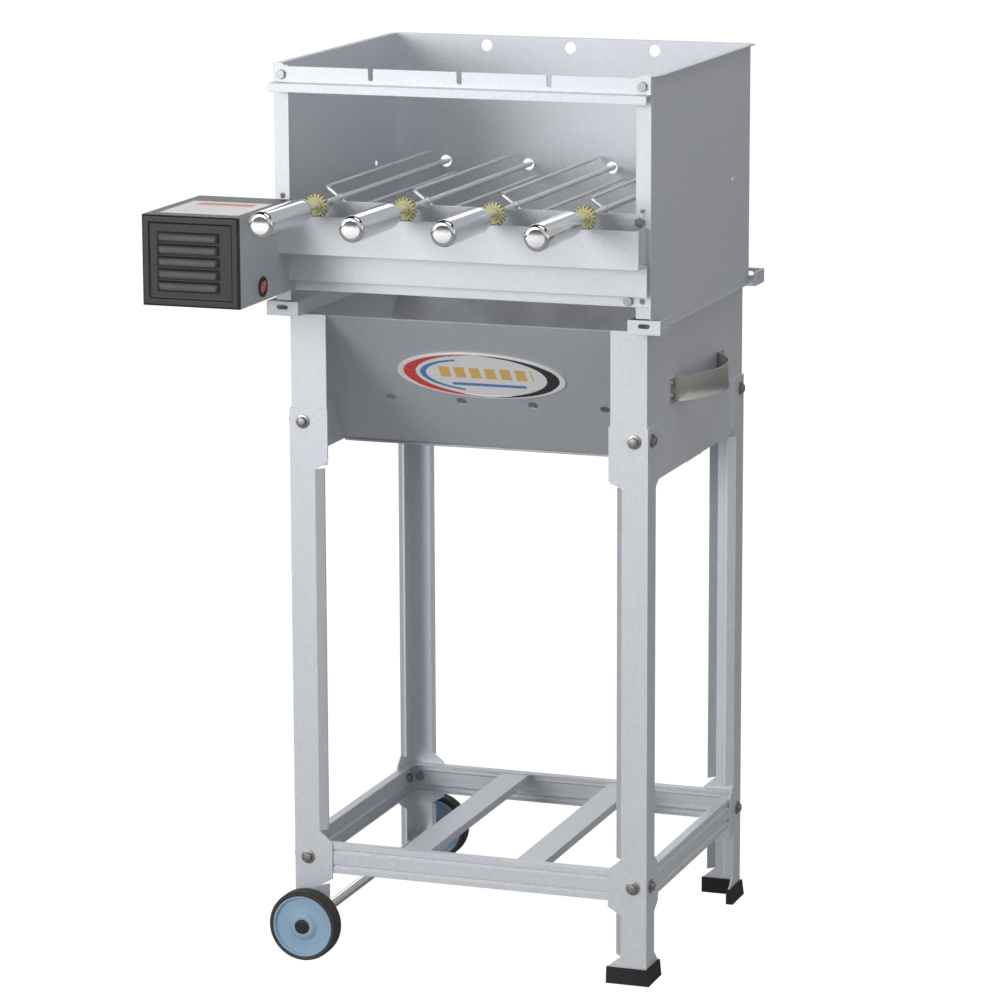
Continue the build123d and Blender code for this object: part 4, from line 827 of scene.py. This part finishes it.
def makeFloor():
    size = 14.0
    u = np.linspace(-size, size, 3)
    gx, gy = np.meshgrid(u, u, indexing="ij")
    floor = meshFrom("paleFloor", [(np.stack([gx, gy, np.zeros_like(gx) - 0.0002], -1), False, False)])
    made, tree, shader, coords = startMaterial("paleFloor")
    grain = noiseNode(tree, coords, 40.0, 2.0)
    tree.links.new(mixColour(tree, grain, (0.52, 0.52, 0.52), (0.54, 0.54, 0.54)), shader.inputs["Base Color"])
    shader.inputs["Roughness"].default_value = 0.8
    shader.inputs["Specular IOR Level"].default_value = 0.1
    glow = tree.nodes.new("ShaderNodeEmission")
    glow.inputs["Strength"].default_value = 1.18
    path = tree.nodes.new("ShaderNodeLightPath")
    mix = tree.nodes.new("ShaderNodeMixShader")
    out = tree.nodes["Material Output"]
    share = mathNode(tree, "MULTIPLY", path.outputs["Is Camera Ray"], 0.86)
    tree.links.new(share, mix.inputs[0])
    tree.links.new(shader.outputs[0], mix.inputs[1])
    tree.links.new(glow.outputs[0], mix.inputs[2])
    tree.links.new(mix.outputs[0], out.inputs["Surface"])
    floor.data.materials.append(made)


def makeWorld():
    # White behind the object; for reflections a soft gradient, bright from the front left, dim from
    # the right, with a dark ceiling overhead.
    world = bpy.data.worlds.new("studio")
    bpy.context.scene.world = world
    world.use_nodes = True
    tree = world.node_tree
    tree.nodes.clear()
    s = worldSettings
    coords = tree.nodes.new("ShaderNodeTexCoord")
    dot = tree.nodes.new("ShaderNodeVectorMath")
    dot.operation = "DOT_PRODUCT"
    tree.links.new(coords.outputs["Generated"], dot.inputs[0])
    toward = Vector((-0.55, -0.82, 0.12)).normalized()
    dot.inputs[1].default_value = toward
    spread = tree.nodes.new("ShaderNodeMapRange")
    spread.interpolation_type = "SMOOTHSTEP"
    tree.links.new(dot.outputs["Value"], spread.inputs[0])
    spread.inputs[1].default_value = -0.7
    spread.inputs[2].default_value = 0.9
    spread.inputs[3].default_value = s["dim"]
    spread.inputs[4].default_value = s["bright"]
    split = tree.nodes.new("ShaderNodeSeparateXYZ")
    tree.links.new(coords.outputs["Generated"], split.inputs[0])
    ceiling = tree.nodes.new("ShaderNodeMapRange")
    ceiling.interpolation_type = "SMOOTHSTEP"
    tree.links.new(split.outputs["Z"], ceiling.inputs[0])
    ceiling.inputs[1].default_value, ceiling.inputs[2].default_value = s["overhead"]
    ceiling.inputs[3].default_value, ceiling.inputs[4].default_value = 1.0, s["overheadShare"]
    path = tree.nodes.new("ShaderNodeLightPath")
    both = tree.nodes.new("ShaderNodeMix")
    tree.links.new(path.outputs["Is Camera Ray"], both.inputs[0])
    tree.links.new(mathNode(tree, "MULTIPLY", spread.outputs[0], ceiling.outputs[0]), both.inputs[2])
    both.inputs[3].default_value = s["seen"]
    background = tree.nodes.new("ShaderNodeBackground")
    tree.links.new(both.outputs[0], background.inputs["Strength"])
    background.inputs["Color"].default_value = (1.0, 1.0, 1.0, 1.0)
    out = tree.nodes.new("ShaderNodeOutputWorld")
    tree.links.new(background.outputs[0], out.inputs["Surface"])


def makeLights():
    aim = Vector((0.0, 0.0, 0.6))
    for name, s in lightSettings.items():
        lamp = bpy.data.lights.new(name + "Light", "AREA")
        lamp.shape = "DISK"
        lamp.size = s["size"]
        lamp.energy = s["power"]
        made = bpy.data.objects.new(name + "Light", lamp)
        bpy.context.collection.objects.link(made)
        made.location = s["place"]
        made.rotation_euler = (aim - Vector(s["place"])).to_track_quat("-Z", "Y").to_euler()


def makeCamera():
    s = cameraSettings
    az, el, roll = (math.radians(s[k]) for k in ("azimuth", "elevation", "roll"))
    back = Vector((math.sin(az) * math.cos(el), -math.cos(az) * math.cos(el), math.sin(el)))
    right = Vector((math.cos(az), math.sin(az), 0))
    up = back.cross(right)
    right2 = math.cos(roll) * right + math.sin(roll) * up
    up2 = -math.sin(roll) * right + math.cos(roll) * up
    lens = bpy.data.cameras.new("studioCamera")
    lens.lens = s["lens"]
    lens.sensor_width = 36.0
    lens.clip_end = 60.0
    camera = bpy.data.objects.new("studioCamera", lens)
    bpy.context.collection.objects.link(camera)
    place = Vector(s["target"]) + back * s["distance"]
    turn = Matrix((right2, up2, back)).transposed().to_4x4()
    camera.matrix_world = Matrix.Translation(place) @ turn
    bpy.context.scene.camera = camera


makeFloor()
makeWorld()
makeLights()
makeCamera()
bpy.context.scene.view_settings.view_transform = "Standard"
print("studio ready")
